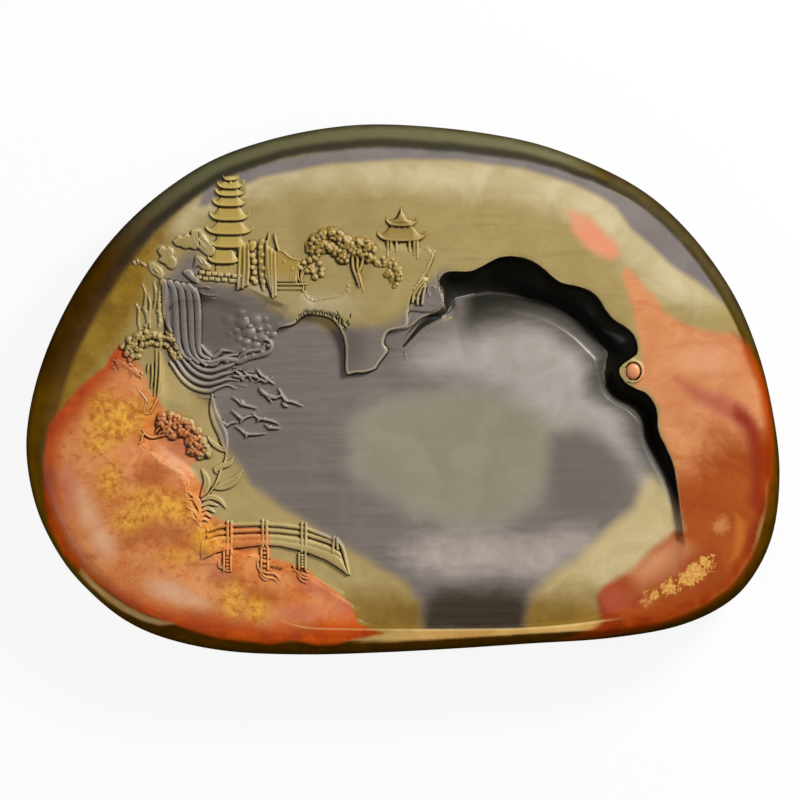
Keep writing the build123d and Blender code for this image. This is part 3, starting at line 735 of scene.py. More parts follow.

    # the field: khaki land, grey water, a pale painted sheen in two places, the green eye and dark patches
    land = mix(
        ramp(across, 0.03, 0.07),
        (cloud, 0.25, (168, 145, 88), (186, 163, 107)), (cloud, 0.25, (190, 169, 118), (209, 188, 140)),
    )
    land = specks(land, (crumb, 0.02, 0.3, 0.4, (160, 140, 92)))
    frontLand = ramp(add(back, times(cloud, 0.012)), -0.062, -0.078)
    land = mix(frontLand, land, (blot, 0.25, (146, 112, 44), (128, 98, 32)))
    water = specks(
        (grain, 0.24, (112, 102, 95), (127, 117, 110)), (cloud, -0.1, 0.3, 0.6, (133, 123, 115)),
        (crumb, 0.04, 0.3, 0.35, (100, 90, 82)),
    )
    water = zones(
        water, ("murk", 3.5, 4.0, cloud, (98, 88, 80), 0.8),
        ("eye", 5.0, 8.0, cloud, (150, 143, 128), 0.8, -1.5),
        ("eye", 5.0, 8.0, cloud, (cloud, 0.25, (140, 134, 112), (150, 145, 122)), 1.0, 1.6),
        # painted sheen: pale reflections on the floor of the field
        ("sheen", 6.5, 6.0, slant, (cloud, 0.25, (162, 153, 144), (180, 171, 163))),
        ("drift", 5.5, 9.0, slant, (cloud, 0.2, (160, 149, 140), (184, 171, 162))),
        ("dusk", 4.4, 7.0, cloud, (grain, 0.3, (109, 101, 93), (116, 108, 100))),
        ("umber", 4.5, 7.0, cloud, (grain, 0.22, (54, 44, 30), (68, 57, 42))),
    )
    wet = cover("water", 3.0, 6.0, cloud)
    softField = ramp(add(field("sunk"), times(cloud, 3.0)), -3.0, 3.5)
    inField = mixValue(field("crisp"), softField, ramp(field("sunk"), -0.2, 0.35))
    # painted shadow on the land below the streams
    floor = zones(mix(wet, land, water), ("dusky", 1.6, 2.0, blot, (116, 100, 74), 0.7))
    colour = mix(inField, colour, floor)
    onShelf = times(times(wet, ramp(across, 0.020, 0.012)), ramp(back, -0.060, -0.045))
    colour = mix(onShelf, colour, water)
    colour = mix(times(cover("green", 2.0, 4.0, blot), without(wet)), colour, land)

    # orange stone of the bank on the left, with amber and pale clouds, painted glare highlights and a red
    # border
    bank = specks(
        (cloud, 0.2, (204, 112, 48), (226, 148, 88)), (fine, 0.0, 0.25, 0.5, (236, 166, 102)),
        (slant, 0.0, 0.2, 0.6, (180, 92, 38)), (crumb, 0.0, 0.22, 0.6, (168, 84, 36)),
    )
    bank = zones(
        bank, ("earth", 2.6, 5.0, crumb, (166, 82, 34), 0.6),
        ("haze", 3.2, 4.0, slant, (cloud, 0.2, (226, 172, 128), (232, 184, 146)), 0.8),
    )
    amberEdge = add(add(field("amber"), times(crumb, 6.0)), times(blot, 7.0))
    bank = specks(bank, (amberEdge, -3.2, 3.2, 0.9, (crumb, 0.16, (242, 180, 62), (186, 104, 32))))
    bank = zones(bank, ("blush", 2.8, 4.0, blot, (192, 106, 86), 0.6))
    border = paint((blot, 0.22, (202, 84, 20), (158, 54, 10)))
    colour = zones(
        colour, ("bank", 0.8, 1.6, blot, zones(border, ("bankHeart", 3.8, 5.0, blot, bank))),
        ("strip", 0.7, 1.0, blot, (blot, 0.2, (214, 176, 116), (178, 136, 76)), 0.85),
    )

    # orange and rust stone on the right, redder at its edge, with veins and yellow flecks
    east = specks((cloud, 0.25, (202, 126, 76), (218, 148, 96)), (slant, 0.0, 0.22, 0.6, (196, 108, 72)))
    rust = specks((cloud, 0.22, (156, 64, 4), (172, 80, 14)), (crumb, 0.0, 0.3, 0.5, (144, 52, 2)))
    rustWay = add(add(back, times(across, -0.30)), times(cloud, 0.03))
    # faint painted glare highlights on the right as well
    east = zones(
        mix(ramp(rustWay, -0.040, -0.062), east, rust), ("haze", 3.0, 4.0, slant, (230, 172, 130), 0.4),
        ("lobe", 4.0, 5.0, blot, (168, 72, 44), 0.6), ("glow", 4.0, 5.0, blot, (222, 152, 104), 0.55),
    )
    border = paint((blot, 0.2, (164, 66, 16), (130, 42, 6)))
    east = zones(
        border, ("eastHeart", 1.6, 2.4, blot, east), ("smear", 2.6, 3.0, blot, (176, 84, 64), 0.8),
        ("ringOne", 0.8, 1.6, blot, (196, 110, 84), 0.35), ("redVein", 2.4, 3.0, blot, (142, 38, 6), 0.95),
        ("blush", 3.2, 5.0, blot, (186, 84, 62), 0.4), ("streak", 1.4, 2.0, blot, (196, 108, 28), 0.8),
        ("fleck", 0.5, 14.0, crumb, (fine, 0.2, (230, 180, 90), (194, 124, 46)), 1.0, 0.5),
        ("pale", 1.8, 9.0, crumb, (220, 148, 86), 0.55, 0.8),
    )
    colour = zones(
        colour, ("east", 1.7, 3.2, blot, east),
        ("redSpot", 2.2, 3.0, blot, (blot, 0.2, (230, 142, 106), (222, 154, 114))),
    )

    # the wall of the pool is painted almost black, for its ink stain and as painted shade; the slope above
    # its trough is dark with a painted reflection of that wall
    deep = field("deep")
    wall = times(ramp(field("sunk"), -0.15, 0.2), ramp(field("trough"), 0.6, -0.3))
    wall = times(wall, ramp(deep, 0.03, 0.3))
    within = times(field("trough"), mixValue(ramp(across, 0.050, 0.018), 1.0, 0.55))
    slope = times(ramp(add(within, times(slant, 4.0)), 12.0, 1.5), ramp(field("trough"), -0.4, 0.2))
    slope = times(slope, mixValue(ramp(across, 0.062, 0.030), 0.75, 1.0))
    slope = times(slope, ramp(across, 0.0165, 0.0255))
    colour = mix(wall, colour, (22, 19, 11))
    colour = mix(times(times(slope, ramp(deep, 0.1, 0.5)), 0.93), colour, (27, 28, 20))
    # painted shade: the groove beside the shelf is near black in its hollow
    colour = zones(
        colour, ("groove", 0.275, 0.5, crumb, (30, 27, 19), 1.0, 0.025),
        # painted shade along the headland's south edge, over the carved scrub
        ("thicket", 0.6, 5.0, crumb, (62, 50, 30), 0.85, 0.2),
    )

    # the outermost edge is dark; painted shade darkens hollows and the sides of carvings away from the
    # light, and a painted highlight lightens raised edges and the slab's glint lines
    outermost = add(field("gap"), times(blot, 2.0))
    colour = specks(colour, (outermost, 2.8, -0.4, 0.85, (38, 27, 4)))
    ridge = field("ridge")
    colour = mix(times(field("dim"), 0.75), colour, (192, 172, 126), "MULTIPLY")
    # painted shade in hollows and on the sides away from the light
    colour = mix(times(ramp(ridge, -0.03, -0.28), 0.95), colour, (64, 48, 26), "MULTIPLY")
    # painted highlight on raised edges, greyer over the water
    highlightTone = mix(times(wet, inField), (150, 134, 92), (132, 124, 112))
    colour = mix(times(ramp(ridge, 0.05, 0.34), 0.7), colour, highlightTone, "SCREEN")

    # polish: least at the rim, on the dark-painted wall and slope and on the bank's inner wall
    bankWall = times(ramp(field("sunk"), -3.2, -1.2), ramp(field("trough"), 3.0, 1.2))
    bankWall = times(bankWall, ramp(field("bank"), -3.0, 0.0))
    body = ramp(add(field("gap"), times(blot, 3.0)), 4.0, 11.0)
    for part, share in ((wall, 0.55), (bankWall, 0.9), (times(slope, ramp(deep, 0.1, 0.6)), 0.7)):
        body = times(body, without(part, share))
    carved = ramp(field("lift"), 0.05, 0.3)
    rough = make("MapRange", {
        "Value": add(times(blot, 0.5), times(fine, 0.4)),
        "From Min": -0.3, "From Max": 0.3, "To Min": 0.36, "To Max": 0.50,
    })[0]
    height = add(times(crumb, 0.6), times(grain, 0.5))
    bump = make("Bump", {"Strength": 0.3, "Distance": 0.0002, "Height": height})[0]
    shader = make("BsdfPrincipled", {
        "Base Color": colour,
        "Roughness": rough,
        "Specular IOR Level": times(body, 0.36),
        "Coat Weight": times(times(body, 0.30), without(carved, 0.7)),
        "Coat Roughness": 0.2,
        "Normal": bump,
    })[0]
    make("OutputMaterial", {0: shader})
    return material


stoneMaterial = makeStone()
print("stone made")


# painted highlight lines of the slab, in mm: a glint along the lip at the front, and a pale line along the
# trough from its tip
glintLines = {
    "strength": 0.34, "lipFrom": 60.0, "lipRun": 4.0, "lipAt": 0.15, "lipWidth": 0.55, "troughShare": 0.7,
    "troughFrom": (17, -11), "troughRun": (3, 4), "troughAt": 0.25, "troughWidth": 0.35,
}


# The slab: rings from the pole out over floor, slope, wall, top and rim, down the side and under.
def makeSlab():
    turns, rings = stone["turns"], stone["rings"]
    angle = np.linspace(-np.pi, np.pi, turns, endpoint=False)
    ray = np.stack([np.cos(angle), np.sin(angle)], axis=1)
    rCrest, rFoot, rBrink = [byAngle(angle, curve) for curve in (crest, foot, brink)]
    edge = ray * byAngle(angle, outline)[:, None]
    tangent = np.roll(edge, -1, axis=0) - np.roll(edge, 1, axis=0)
    outward = np.stack([tangent[:, 1], -tangent[:, 0]], axis=1)
    outward /= np.hypot(*outward.T)[:, None]
    width = byAngle(angle, rimWidth)

    def shares(name, skip=0):
        return np.linspace(0, 1, rings[name], endpoint=False)[skip:]

    radii = [rCrest * share for share in shares("floor", 1)]
    radii += [rCrest + (rFoot - rCrest) * share for share in shares("slope")]
    radii += [rFoot + (rBrink - rFoot) * math.sin(share * np.pi / 2) for share in shares("wall")]
    radii += [rBrink + out for out in (0.0, 0.25, stone["crispWidth"])]
    rows = [ray * radius[:, None] for radius in radii]
    start = rows[-1]
    shoulder = edge - outward * width[:, None]
    rows += [start + (shoulder - start) * share for share in np.linspace(0, 1, rings["top"])[1:]]
    rows += [edge - outward * (width * (1 - math.sin(turn)))[:, None]
             for turn in np.linspace(0, np.pi / 2, rings["rim"])[1:-1]]
    upper = len(rows) * turns
    z = stoneTop(*(np.concatenate(rows) + pole).T)

    # the side, the rounded foot (inset r (1 - cos t), height r (1 - sin t)) and the underside
    top, low = stone["top"] - stone["rimDrop"], stone["footRadius"]
    sides = [(0.0, level) for level in (top, (top + low) / 2, low)]
    sides += [(low * (1 - math.cos(t)), low * (1 - math.sin(t)))
              for t in np.linspace(0, np.pi / 2, rings["foot"])[1:]]
    under = (0.75, 0.5, 0.25, 0.08)
    rows += [edge - outward * inset for inset, level in sides]
    rows += [(edge - outward * low) * share for share in under]
    levels = [level for inset, level in sides] + [0.0] * len(under)
    flat = np.concatenate(rows) + pole
    z = np.concatenate([z, np.repeat(levels, turns)])
    count = len(flat)
    crown = stoneTop(*pole[:, None])[0]
    vertices = np.vstack([np.column_stack([flat, z]), [[*pole, crown], [*pole, 0.0]]])
    faces = gridFaces(len(rows), turns, True)[:, ::-1].tolist()
    here = np.arange(turns)
    after = np.roll(here, -1)
    lastRow = count - turns
    for hub, a, b in ((count, here, after), (count + 1, lastRow + after, lastRow + here)):
        faces += np.stack([np.full(turns, hub), a, b], axis=1).tolist()

    x, y = vertices[:, :2].T
    gap = insideBy(x, y, outlineLoop)
    gap[upper:count] = np.minimum(gap[upper:count], 0.0)
    fields = colourFields(x, y, gap)
    fields["lift"] = np.zeros(len(vertices))
    fields["dim"] = np.zeros(len(vertices))
    # painted highlights: a glint along the front lip and a pale line along the foot of the trough
    turn, far = polar(x, y)
    past = far - byAngle(turn, brink)
    front = ease((pole[1] - y - glintLines["lipFrom"]) / glintLines["lipRun"]) * ease((past + 1.2) / 0.6)
    lip = np.exp(
        -((past - glintLines["lipAt"]) / glintLines["lipWidth"]) ** 2
    ) * (byAngle(turn, brinkCrisp) * front)
    (left, low), (runX, runY) = glintLines["troughFrom"], glintLines["troughRun"]
    tip = ease((x - left) / runX) * ease((y - low) / runY)
    line = np.exp(-((glintLines["troughAt"] - fields["trough"]) / glintLines["troughWidth"]) ** 2)
    trough = tip * line * fields["deep"] ** 0.5
    fields["ridge"] = glintLines["strength"] * np.maximum(lip, glintLines["troughShare"] * trough)
    print("slab", len(vertices))
    return finishPiece("slab", "stone_slab", vertices, faces, fields)


makeSlab()


# Carvings. Their points are read off enlargements of the photograph: left, top, zoom of each.
closeUps = {
    "north": (200, 110, 5.41), "west": (20, 110, 5.06), "south": (200, 380, 5.6), "bank": (20, 400, 6.03),
}
random = np.random.default_rng(seed=11)


def seen(window, points):
    left, top, zoom = closeUps[window]
    return [(left + x / zoom, top + y / zoom) for x, y in points]


def seenRows(window, rows):
    return [seen(window, row) for row in rows]


def toPixels(x, y):
    return x / scale + photo["middle"][0], photo["middle"][1] - y / scale


def nearby(x, y, line, margin):
    # the cells within the box round a line
    low, high = line.min(axis=0) - margin, line.max(axis=0) + margin
    return (x > low[0]) & (x < high[0]) & (y > low[1]) & (y < high[1])


def strand(x, y, points, width, height, ends=(0.4, 0.4), closed=False, power=0.55):
    # a rounded cord: height * (1 - (gap / half)^2)^power, narrower towards its ends
    line = smoothLine(plan(points), closed, 5)
    half = width * scale / 2
    out = np.full(x.shape, -1.0)
    near = nearby(x, y, line, half)
    if near.any():
        gap, share = toLine(x[near], y[near], line, closed)
        slim = 1.0 if closed else ((ends[0] + (1 - ends[0]) * ease(share / 0.35))
                                   * (ends[1] + (1 - ends[1]) * ease((1 - share) / 0.35)))
        body = 1 - (gap / (half * slim)) ** 2
        out[near] = np.where(body > 0, height * np.maximum(body, 0) ** power, -1)
    return out


def pad(x, y, points, height, bevel=0.5, soft=True):
    # a plateau whose edge is a quarter round: height * sqrt(1 - (1 - in / bevel)^2)
    loop = smoothLine(plan(points), True, 4) if soft else plan(points)
    out = np.full(x.shape, -1.0)
    near = nearby(x, y, loop, 0.1)
    if near.any():
        inside = insideBy(x[near], y[near], loop)
        turn = 1 - np.clip(inside / bevel, 0, 1)
        out[near] = np.where(inside > 0, height * np.sqrt(1 - turn ** 2), -1)
    return out


def beads(x, y, spots, radius, height, squash=1.0):
    # domes: height * sqrt(1 - (gap / radius)^2)
    out = np.full(x.shape, -1.0)
    for cx, cy in plan(spots):
        size = radius * scale * (0.88 + 0.24 * random.random())
        gap = ((x - cx) / size) ** 2 + ((y - cy) / (size * squash)) ** 2
        out = np.maximum(out, np.where(gap < 1, height * np.sqrt(np.maximum(1 - gap, 0)), -1))
    return out


def foliage(x, y, spots, radius, height, knob=0.3):
    # a lumpy crown: height * ((1 - knob) * domes + knob * small knobs)
    crown = np.full(x.shape, -1.0)
    for cx, cy in plan(spots):
        gap = np.hypot(x - cx, y - cy) / (radius * scale * (0.8 + 0.4 * random.random()))
        crown = np.maximum(crown, np.where(gap < 1, 1 - gap ** 2.4, -1))
    knobs = beads(x, y, jitter(np.repeat(spots, 6, axis=0), radius * 0.45), radius * 0.36, height=1.0)
    domes = (1 - knob) * np.maximum(crown, 0) ** 0.7
    return np.where(crown > 0, height * (domes + knob * np.maximum(knobs, 0)), -1)


def highest(*shapes):
    return np.maximum.reduce(shapes)


def strands(x, y, rows, width, height, **more):
    return highest(*[strand(x, y, row, width, height, **more) for row in rows])


def curls(x, y, spots, size, height):
    # small hooked strokes, each turned at random
    rows = []
    for cx, cy in spots:
        turn = random.uniform(-0.9, 0.9) + np.array([2.6, 1.3, 0.2, -0.9])
        rows.append(np.stack([cx + size * np.cos(turn), cy - size * np.sin(turn)], axis=1))
    return strands(x, y, rows, width=1.4, height=height, ends=(0.5, 0.5))


def along(points, count):
    # evenly spaced pixels on a chain of pixels
    line = np.asarray(points, float)
    gone = np.concatenate([[0], np.cumsum(np.hypot(*np.diff(line, axis=0).T))])
    marks = np.linspace(0, gone[-1], count)
    return np.stack([np.interp(marks, gone, line[:, 0]), np.interp(marks, gone, line[:, 1])], axis=1)


def jitter(points, amount):
    return np.asarray(points) + random.normal(0, amount, np.shape(points))


def roof(x, y, left, right, tip, sag, rise, height):
    # a curled roof: lower edge tip + sag * (1 - (u^3 + u^9) / 2), a bell in the middle and thin tips
    px, py = toPixels(x, y)
    u = np.abs((px - (left + right) / 2) / ((right - left) / 2))
    low = tip + sag * (1 - (u ** 3 + u ** 9) / 2)
    tall = 2.3 + (rise - 2.3) * np.clip((1 - u) / 0.5, 0, 1) ** 1.8
    t = (py - low + tall) / tall
    body = height * (0.30 + 0.70 * np.clip(t, 0, 1) ** 1.3) * (1 - 0.05 * np.cos(px * 4.2) * (t < 0.7))
    body = body * np.sqrt(np.clip((1 - t) * tall / 0.8, 0.05, 1))
    return np.where((u < 1) & (t > 0) & (t < 1), body, -1)


def storey(x, y, left, right, top, low, height, slits):
    # a wall with upright slits: height * (1 - 0.25 * c^4), c a raised cosine across the wall
    px, py = toPixels(x, y)
    within = (px > left) & (px < right) & (py > top) & (py < low)
    ridges = 0.5 + 0.5 * np.cos((px - left) / (right - left) * 2 * np.pi * slits)
    return np.where(within, height * (1 - 0.25 * ridges ** 4), -1)


# the level in mm sinks towards the front and at the western corner (starts and runs in pixels)
headland = {
    "shore": [(336, 316), (342, 322), (345, 330), (348, 318)],
    "loop": [
        (268, 301), (285, 292), (302, 289), (314.6, 301), (331, 297), (347.9, 293), (356, 284), (364, 268),
        (371, 252), (376, 243), (398, 243.5), (420, 247), (427.5, 248), (432.5, 255), (429, 265.5),
        (423.5, 274.5), (420.5, 282), (413, 292), (409, 302), (408, 314), (406.5, 326.5), (396, 329),
        (388, 331.5), (384.5, 337), (383.5, 344), (387.5, 350), (384.5, 355), (379, 362), (374, 369),
        (362.7, 372.3), (355, 372.4), (347.5, 374), (345.2, 368), (345.5, 352), (344, 339), (339, 327),
        (333, 320), (326, 316.5), (318, 315), (308, 314), (301, 318), (294, 324), (287, 326), (280, 327.5),
        (274, 333), (266, 336), (261, 328), (262, 316),
    ],
    "north": [
        (271, 337), (262, 330), (262, 316), (268, 301), (285, 292), (302, 289), (314.6, 301), (331, 297),
        (347.9, 293), (356, 284), (364, 268), (371, 252), (376, 243), (398, 243.5), (420, 247),
    ],
    "contour": [
        (303, 288), (306, 296), (314, 301), (322, 299), (331, 297.5), (341, 296), (347, 292), (348, 286),
    ],
    "brow": [(432.5, 252), (432, 257), (429, 264), (426, 271), (421, 279), (414, 289)],
    "scrub": [(297, 321), (304, 315.5), (312, 313.5), (320, 314), (328, 316), (336, 319), (341, 324)],
    "level": 30.22, "frontDrop": 1.2, "frontFrom": 304, "frontRun": 66, "westDrop": 0.5, "westFrom": 305,
    "bevel": 0.55, "bevelDrop": 0.5,
}


def headlandShape(x, y, ground):
    px, py = toPixels(x, y)
    inside = insideBy(x, y, smoothLine(plan(headland["loop"]), True, 3))
    back = toLine(x, y, plan(headland["north"]))[0]
    west, front = headland["westFrom"] - px, py - headland["frontFrom"]
    level = headland["level"] - headland["frontDrop"] * ease(front / headland["frontRun"])
    level = level - headland["westDrop"] * ease(west / 45) * ease((py - 285) / 25)
    level = ground + (level - ground) * ease(back / (2.6 + 7 * ease(west / 30)))
    edge = 1 - np.clip(inside / headland["bevel"], 0, 1)
    top = level - headland["bevelDrop"] * quarter(edge) * ease(back / 2.0)
    body = np.where(inside > 0, top - ground, -1)
    body = np.where(ground > 29, body - 0.06 * (1 - ease(back / 1.2)), body)
    nicks = [[(cx - 0.6, cy - 3.2), (cx + random.normal(0, 1.0), cy), (cx + 0.4, cy + 2.6)]
             for cx, cy in jitter(along(headland["scrub"], 19), 0.5)]
    nicks += [[(cx, cy - 2.6), (cx + random.normal(0, 1.2), cy), (cx - 0.5, cy + 2.2)]
              for cx, cy in jitter(along(headland["shore"], 10), 1.2)]
    cuts = np.maximum(strands(x, y, nicks, width=1.5, height=0.7), 0)
    body = np.where(body > 0.1, body - cuts, body)
    extra = highest(
        strand(x, y, headland["contour"], width=2.0, height=0.35),
        strand(x, y, headland["brow"], width=3.2, height=0.4),
        beads(x, y, along(headland["brow"], 12), radius=1.6, height=0.45),
        beads(x, y, along(headland["contour"], 13), radius=1.3, height=0.42),
    )
    return np.where(extra > 0, np.maximum(body, 0) + extra, body)


headlandShelf = {
    "upper": [
        (411, 290), (421, 281), (428, 282), (434, 284), (439, 287), (442.5, 294), (443, 302), (440, 308),
        (431, 313.5), (419, 319), (412.5, 325), (405, 329), (398, 329), (405, 324), (408, 314), (409, 300),
    ],
    "lower": [
        (441, 307), (434, 312), (425, 317.5), (416, 323.5), (409.5, 330), (403, 339), (398, 349),
        (390, 350), (384, 343), (386, 333), (396, 327), (408, 318), (424, 308),
    ],
    "lip": [
        (449, 317), (441, 321), (432, 326), (424, 331.5), (417, 338), (410, 345), (404.5, 351),
        (405.5, 359),
    ],
    "curl": [(429, 296), (427, 291), (429, 287), (433, 286.5), (435, 289), (433, 292)], "upperLevel": 28.9,
    "lowerLevel": 27.85, "bevel": 0.6, "bevelDrop": 0.7,
}


def shelfShape(x, y, ground):
    # an upper step, a lower strip that runs out into the floor, and a thin lip beyond the groove
    px, py = toPixels(x, y)
    inside, within = [
        insideBy(x, y, smoothLine(plan(headlandShelf[key]), True, 3)) for key in ("upper", "lower")
    ]
    back, front = 300 - py, py - 318
    level = headlandShelf["upperLevel"] + 0.6 * ease(back / 14) - 0.35 * ease(front / 14)
    edge = 1 - np.clip(inside / headlandShelf["bevel"], 0, 1)
    body = np.where(inside > 0, level - headlandShelf["bevelDrop"] * quarter(edge) - ground, -1)
    strip = headlandShelf["lowerLevel"] - 0.6 * ease((py - 322) / 24) - 0.3 * (1 - ease(within / 0.7))
    body = np.maximum(body, np.where(within > 0, strip - ground, -1))
    away = toLine(x, y, groove)[0]
    body = np.where((away < 1.6) & (body < 0.12) & (px < 445), 0.12, body)
    lip = strand(x, y, headlandShelf["lip"], width=1.5, height=0.34, ends=(0.5, 0.3))
    curl = strand(x, y, headlandShelf["curl"], width=1.5, height=0.3)
    extra = highest(lip, curl)
    return np.where(extra > 0, np.maximum(body, 0) + extra, body)


scrollStones = {
    "runs": [
        [(424, 280), (418.5, 287), (413.5, 294), (412, 302)],
        [(424, 284), (419.5, 291), (417, 298), (417, 304)], [(424.5, 287), (422.5, 295), (421.5, 304)],
    ],
    "stones": [(422, 280), (419, 287.4), (417, 293), (415, 298.6)],
}


def scrollShape(x, y, ground):
    stones = beads(x, y, scrollStones["stones"], radius=5.0, height=0.6, squash=0.7)
    runs = strands(x, y, scrollStones["runs"], width=3.0, height=1.0, ends=(0.8, 0.9))
    return highest(stones, runs)


# roofs: left tip, right tip, level of the tips, sag, rise in the middle;
# storeys: left, right, top, foot, slits
pagoda = {
    "roofs": [
        (223.4, 238.2, 177.6, 3.8, 4.6), (217.6, 243.9, 183.4, 6.2, 7.2), (215.8, 245.2, 190.8, 6.2, 6.8),
        (213.4, 246.8, 201.4, 5.8, 9.4), (210.3, 249.6, 214.6, 6.8, 13.2), (206.6, 253.2, 228.6, 6.6, 12.6),
        (210.4, 248.6, 242.8, 5.6, 12.6), (208.6, 240.6, 258.4, 5.6, 13.6),
    ],
    "storeys": [
        (224.6, 237.4, 184, 190, 3), (223.6, 238.0, 191, 198, 3), (222.0, 239.2, 200, 210, 4),
        (220.0, 240.6, 209, 222, 5), (218.6, 241.6, 223, 236, 5), (217.0, 242.0, 236, 250, 5),
        (216.5, 239.0, 264, 275.5, 4),
    ],
    "roofHeight": 1.1, "wallHeight": 0.3, "spire": [(230.9, 177.5), (230.9, 181), (230.9, 186)],
    "rings": [(230.9, 180.5), (230.9, 184)],
}


def pagodaShape(x, y, ground):
    rows = [roof(x, y, *row, pagoda["roofHeight"]) for row in pagoda["roofs"]]
    rows += [storey(x, y, *row[:4], pagoda["wallHeight"], row[4]) for row in pagoda["storeys"]]
    rows.append(strand(x, y, pagoda["spire"], width=2.2, height=0.6))
    rows.append(beads(x, y, pagoda["rings"], radius=1.6, height=0.7))
    return highest(*rows)


# two courses of dressed stones, in pixels; span: first corner, end, pitch;
# courses: left, right, top and foot from a stone's corner, then the height in mm
stoneTerrace = {
    "span": (199.5, 238, 6.3), "level": 271.5, "slope": 0.05,
    "courses": [(0, 5.7, 0, 4.3, 0.7), (-3, 2.6, 4.8, 9, 0.6)],
}


def terraceShape(x, y, ground):
    blocks = []
    for corner in np.arange(*stoneTerrace["span"]) + random.normal(0, 0.5, 7):
        level = stoneTerrace["level"] + stoneTerrace["slope"] * (corner - 200) + random.normal(0, 0.4)
        for left, right, top, foot, height in stoneTerrace["courses"]:
            left, right, top, foot = corner + left, corner + right, level + top, level + foot
            loop = [(left, top), (right, top), (right, foot), (left, foot)]
            blocks.append(pad(x, y, loop, height, bevel=0.45, soft=False))
    return highest(*blocks)


# blocks: height, bevel, whether the corners are soft, outline; knobs: radius, height, places
gateHall = {
    "blocks": [
        (
            0.62, 0.4, False,
            [(206, 745), (240, 732), (268, 726), (272, 800), (264, 945), (236, 962), (206, 972)],
        ),
        (
            0.72, 0.4, False,
            [(352, 705), (375, 742), (414, 768), (414, 1002), (396, 1022), (372, 962), (350, 900)],
        ),
        (
            0.5, 0.4, False,
            [
                (412, 770), (445, 764), (472, 790), (500, 806), (545, 812), (536, 860), (526, 932),
                (412, 932),
            ],
        ),
        (0.42, 0.3, False, [(412, 936), (560, 936), (558, 948), (412, 948)]),
        (0.3, 0.3, False, [(412, 956), (556, 958), (552, 972), (412, 972)]),
        (0.85, 0.6, True, [(268, 716), (298, 712), (304, 740), (286, 765), (270, 760)]),
        (0.45, 0.4, True, [(318, 722), (350, 708), (356, 850), (350, 980), (326, 930), (316, 820)]),
    ],
    "ribs": [
        [(218, 742), (214, 850), (207, 968)], [(240, 735), (240, 850), (232, 962)],
        [(262, 728), (264, 840), (258, 945)], [(362, 712), (366, 840), (382, 960)],
        [(384, 752), (386, 880), (394, 1010)], [(405, 768), (407, 880), (409, 1002)],
    ],
    "eaves": [
        [(376, 664), (371, 700), (362, 742)], [(404, 670), (412, 712), (426, 760)],
        [(412, 770), (445, 764), (490, 800), (545, 812)],
    ],
    "knobs": [
        (2.9, 0.85, [(284, 790), (294, 822), (284, 852), (296, 882), (286, 912), (300, 930)]),
        (2.7, 0.85, [(328, 745), (338, 785), (330, 822), (342, 858), (334, 894), (344, 930)]),
        (2.2, 0.8, [(457, 822), (500, 860)]),
    ],
    "slits": [[(490, 888), (490, 930)], [(503, 888), (503, 930)], [(516, 888), (516, 930)]],
}


def hallShape(x, y, ground):
    blocks = [pad(x, y, seen("north", loop), *form) for *form, loop in gateHall["blocks"]]
    knobs = [beads(x, y, seen("north", spots), *form) for *form, spots in gateHall["knobs"]]
    return highest(
        *blocks, *knobs,
        strands(x, y, seenRows("north", gateHall["ribs"]), width=3.0, height=1.0, ends=(0.8, 0.8)),
        strands(x, y, seenRows("north", gateHall["eaves"]), width=1.9, height=0.9, ends=(0.3, 0.9)),
        strands(x, y, seenRows("north", gateHall["slits"]), width=1.2, height=0.72),
    )


smallTree = {
    "tuft": [
        (535, 850), (560, 828), (590, 812), (620, 808), (645, 830), (655, 860), (650, 890), (628, 902),
        (600, 850), (582, 872), (612, 872),
    ],
    "trunks": [
        [(534, 865), (530, 900), (545, 935)], [(555, 862), (546, 900), (552, 940)],
        [(585, 850), (560, 880), (548, 920)], [(545, 945), (580, 940)], [(560, 950), (556, 985)],
    ],
}


def treeShape(x, y, ground):
    tuft = seen("north", smallTree["tuft"])
    trunks = seenRows("north", smallTree["trunks"])
    return highest(
        foliage(x, y, jitter(tuft, 0.5), radius=3.1, height=0.95),
        strands(x, y, trunks, width=1.9, height=0.7),
    )


headlandPine = {
    "clumps": [
        (604, 742), (625, 705), (668, 676), (712, 668), (748, 684), (622, 768), (662, 742), (704, 748),
        (742, 768), (772, 800), (782, 716), (820, 730), (862, 722), (905, 734), (930, 762), (800, 760),
        (840, 775), (885, 778), (912, 800), (950, 822), (990, 826), (1040, 835), (1062, 866), (1030, 896),
        (1052, 938), (1015, 885), (1066, 905),
    ],
    "trunks": [
        [(822, 790), (826, 850), (846, 910), (862, 960)], [(850, 800), (850, 860), (868, 930), (884, 985)],
        [(880, 800), (872, 840), (850, 890)],
    ],
    "plant": [
        [(884, 990), (896, 950), (900, 915)], [(890, 980), (915, 955), (925, 925)],
        [(886, 985), (880, 955), (872, 935)], [(892, 960), (936, 930), (940, 900)],
        [(890, 985), (915, 980), (935, 960)],
    ],
}


def headlandPineShape(x, y, ground):
    clumps = seen("north", headlandPine["clumps"])
    trunks = seenRows("north", headlandPine["trunks"])
    plant = seenRows("north", headlandPine["plant"])
    return highest(
        foliage(x, y, clumps, radius=6.8, height=1.3, knob=0.45),
        strands(x, y, trunks, width=3.4, height=0.85, ends=(0.8, 0.7)),
        strands(x, y, plant, width=2.0, height=0.6),
    )


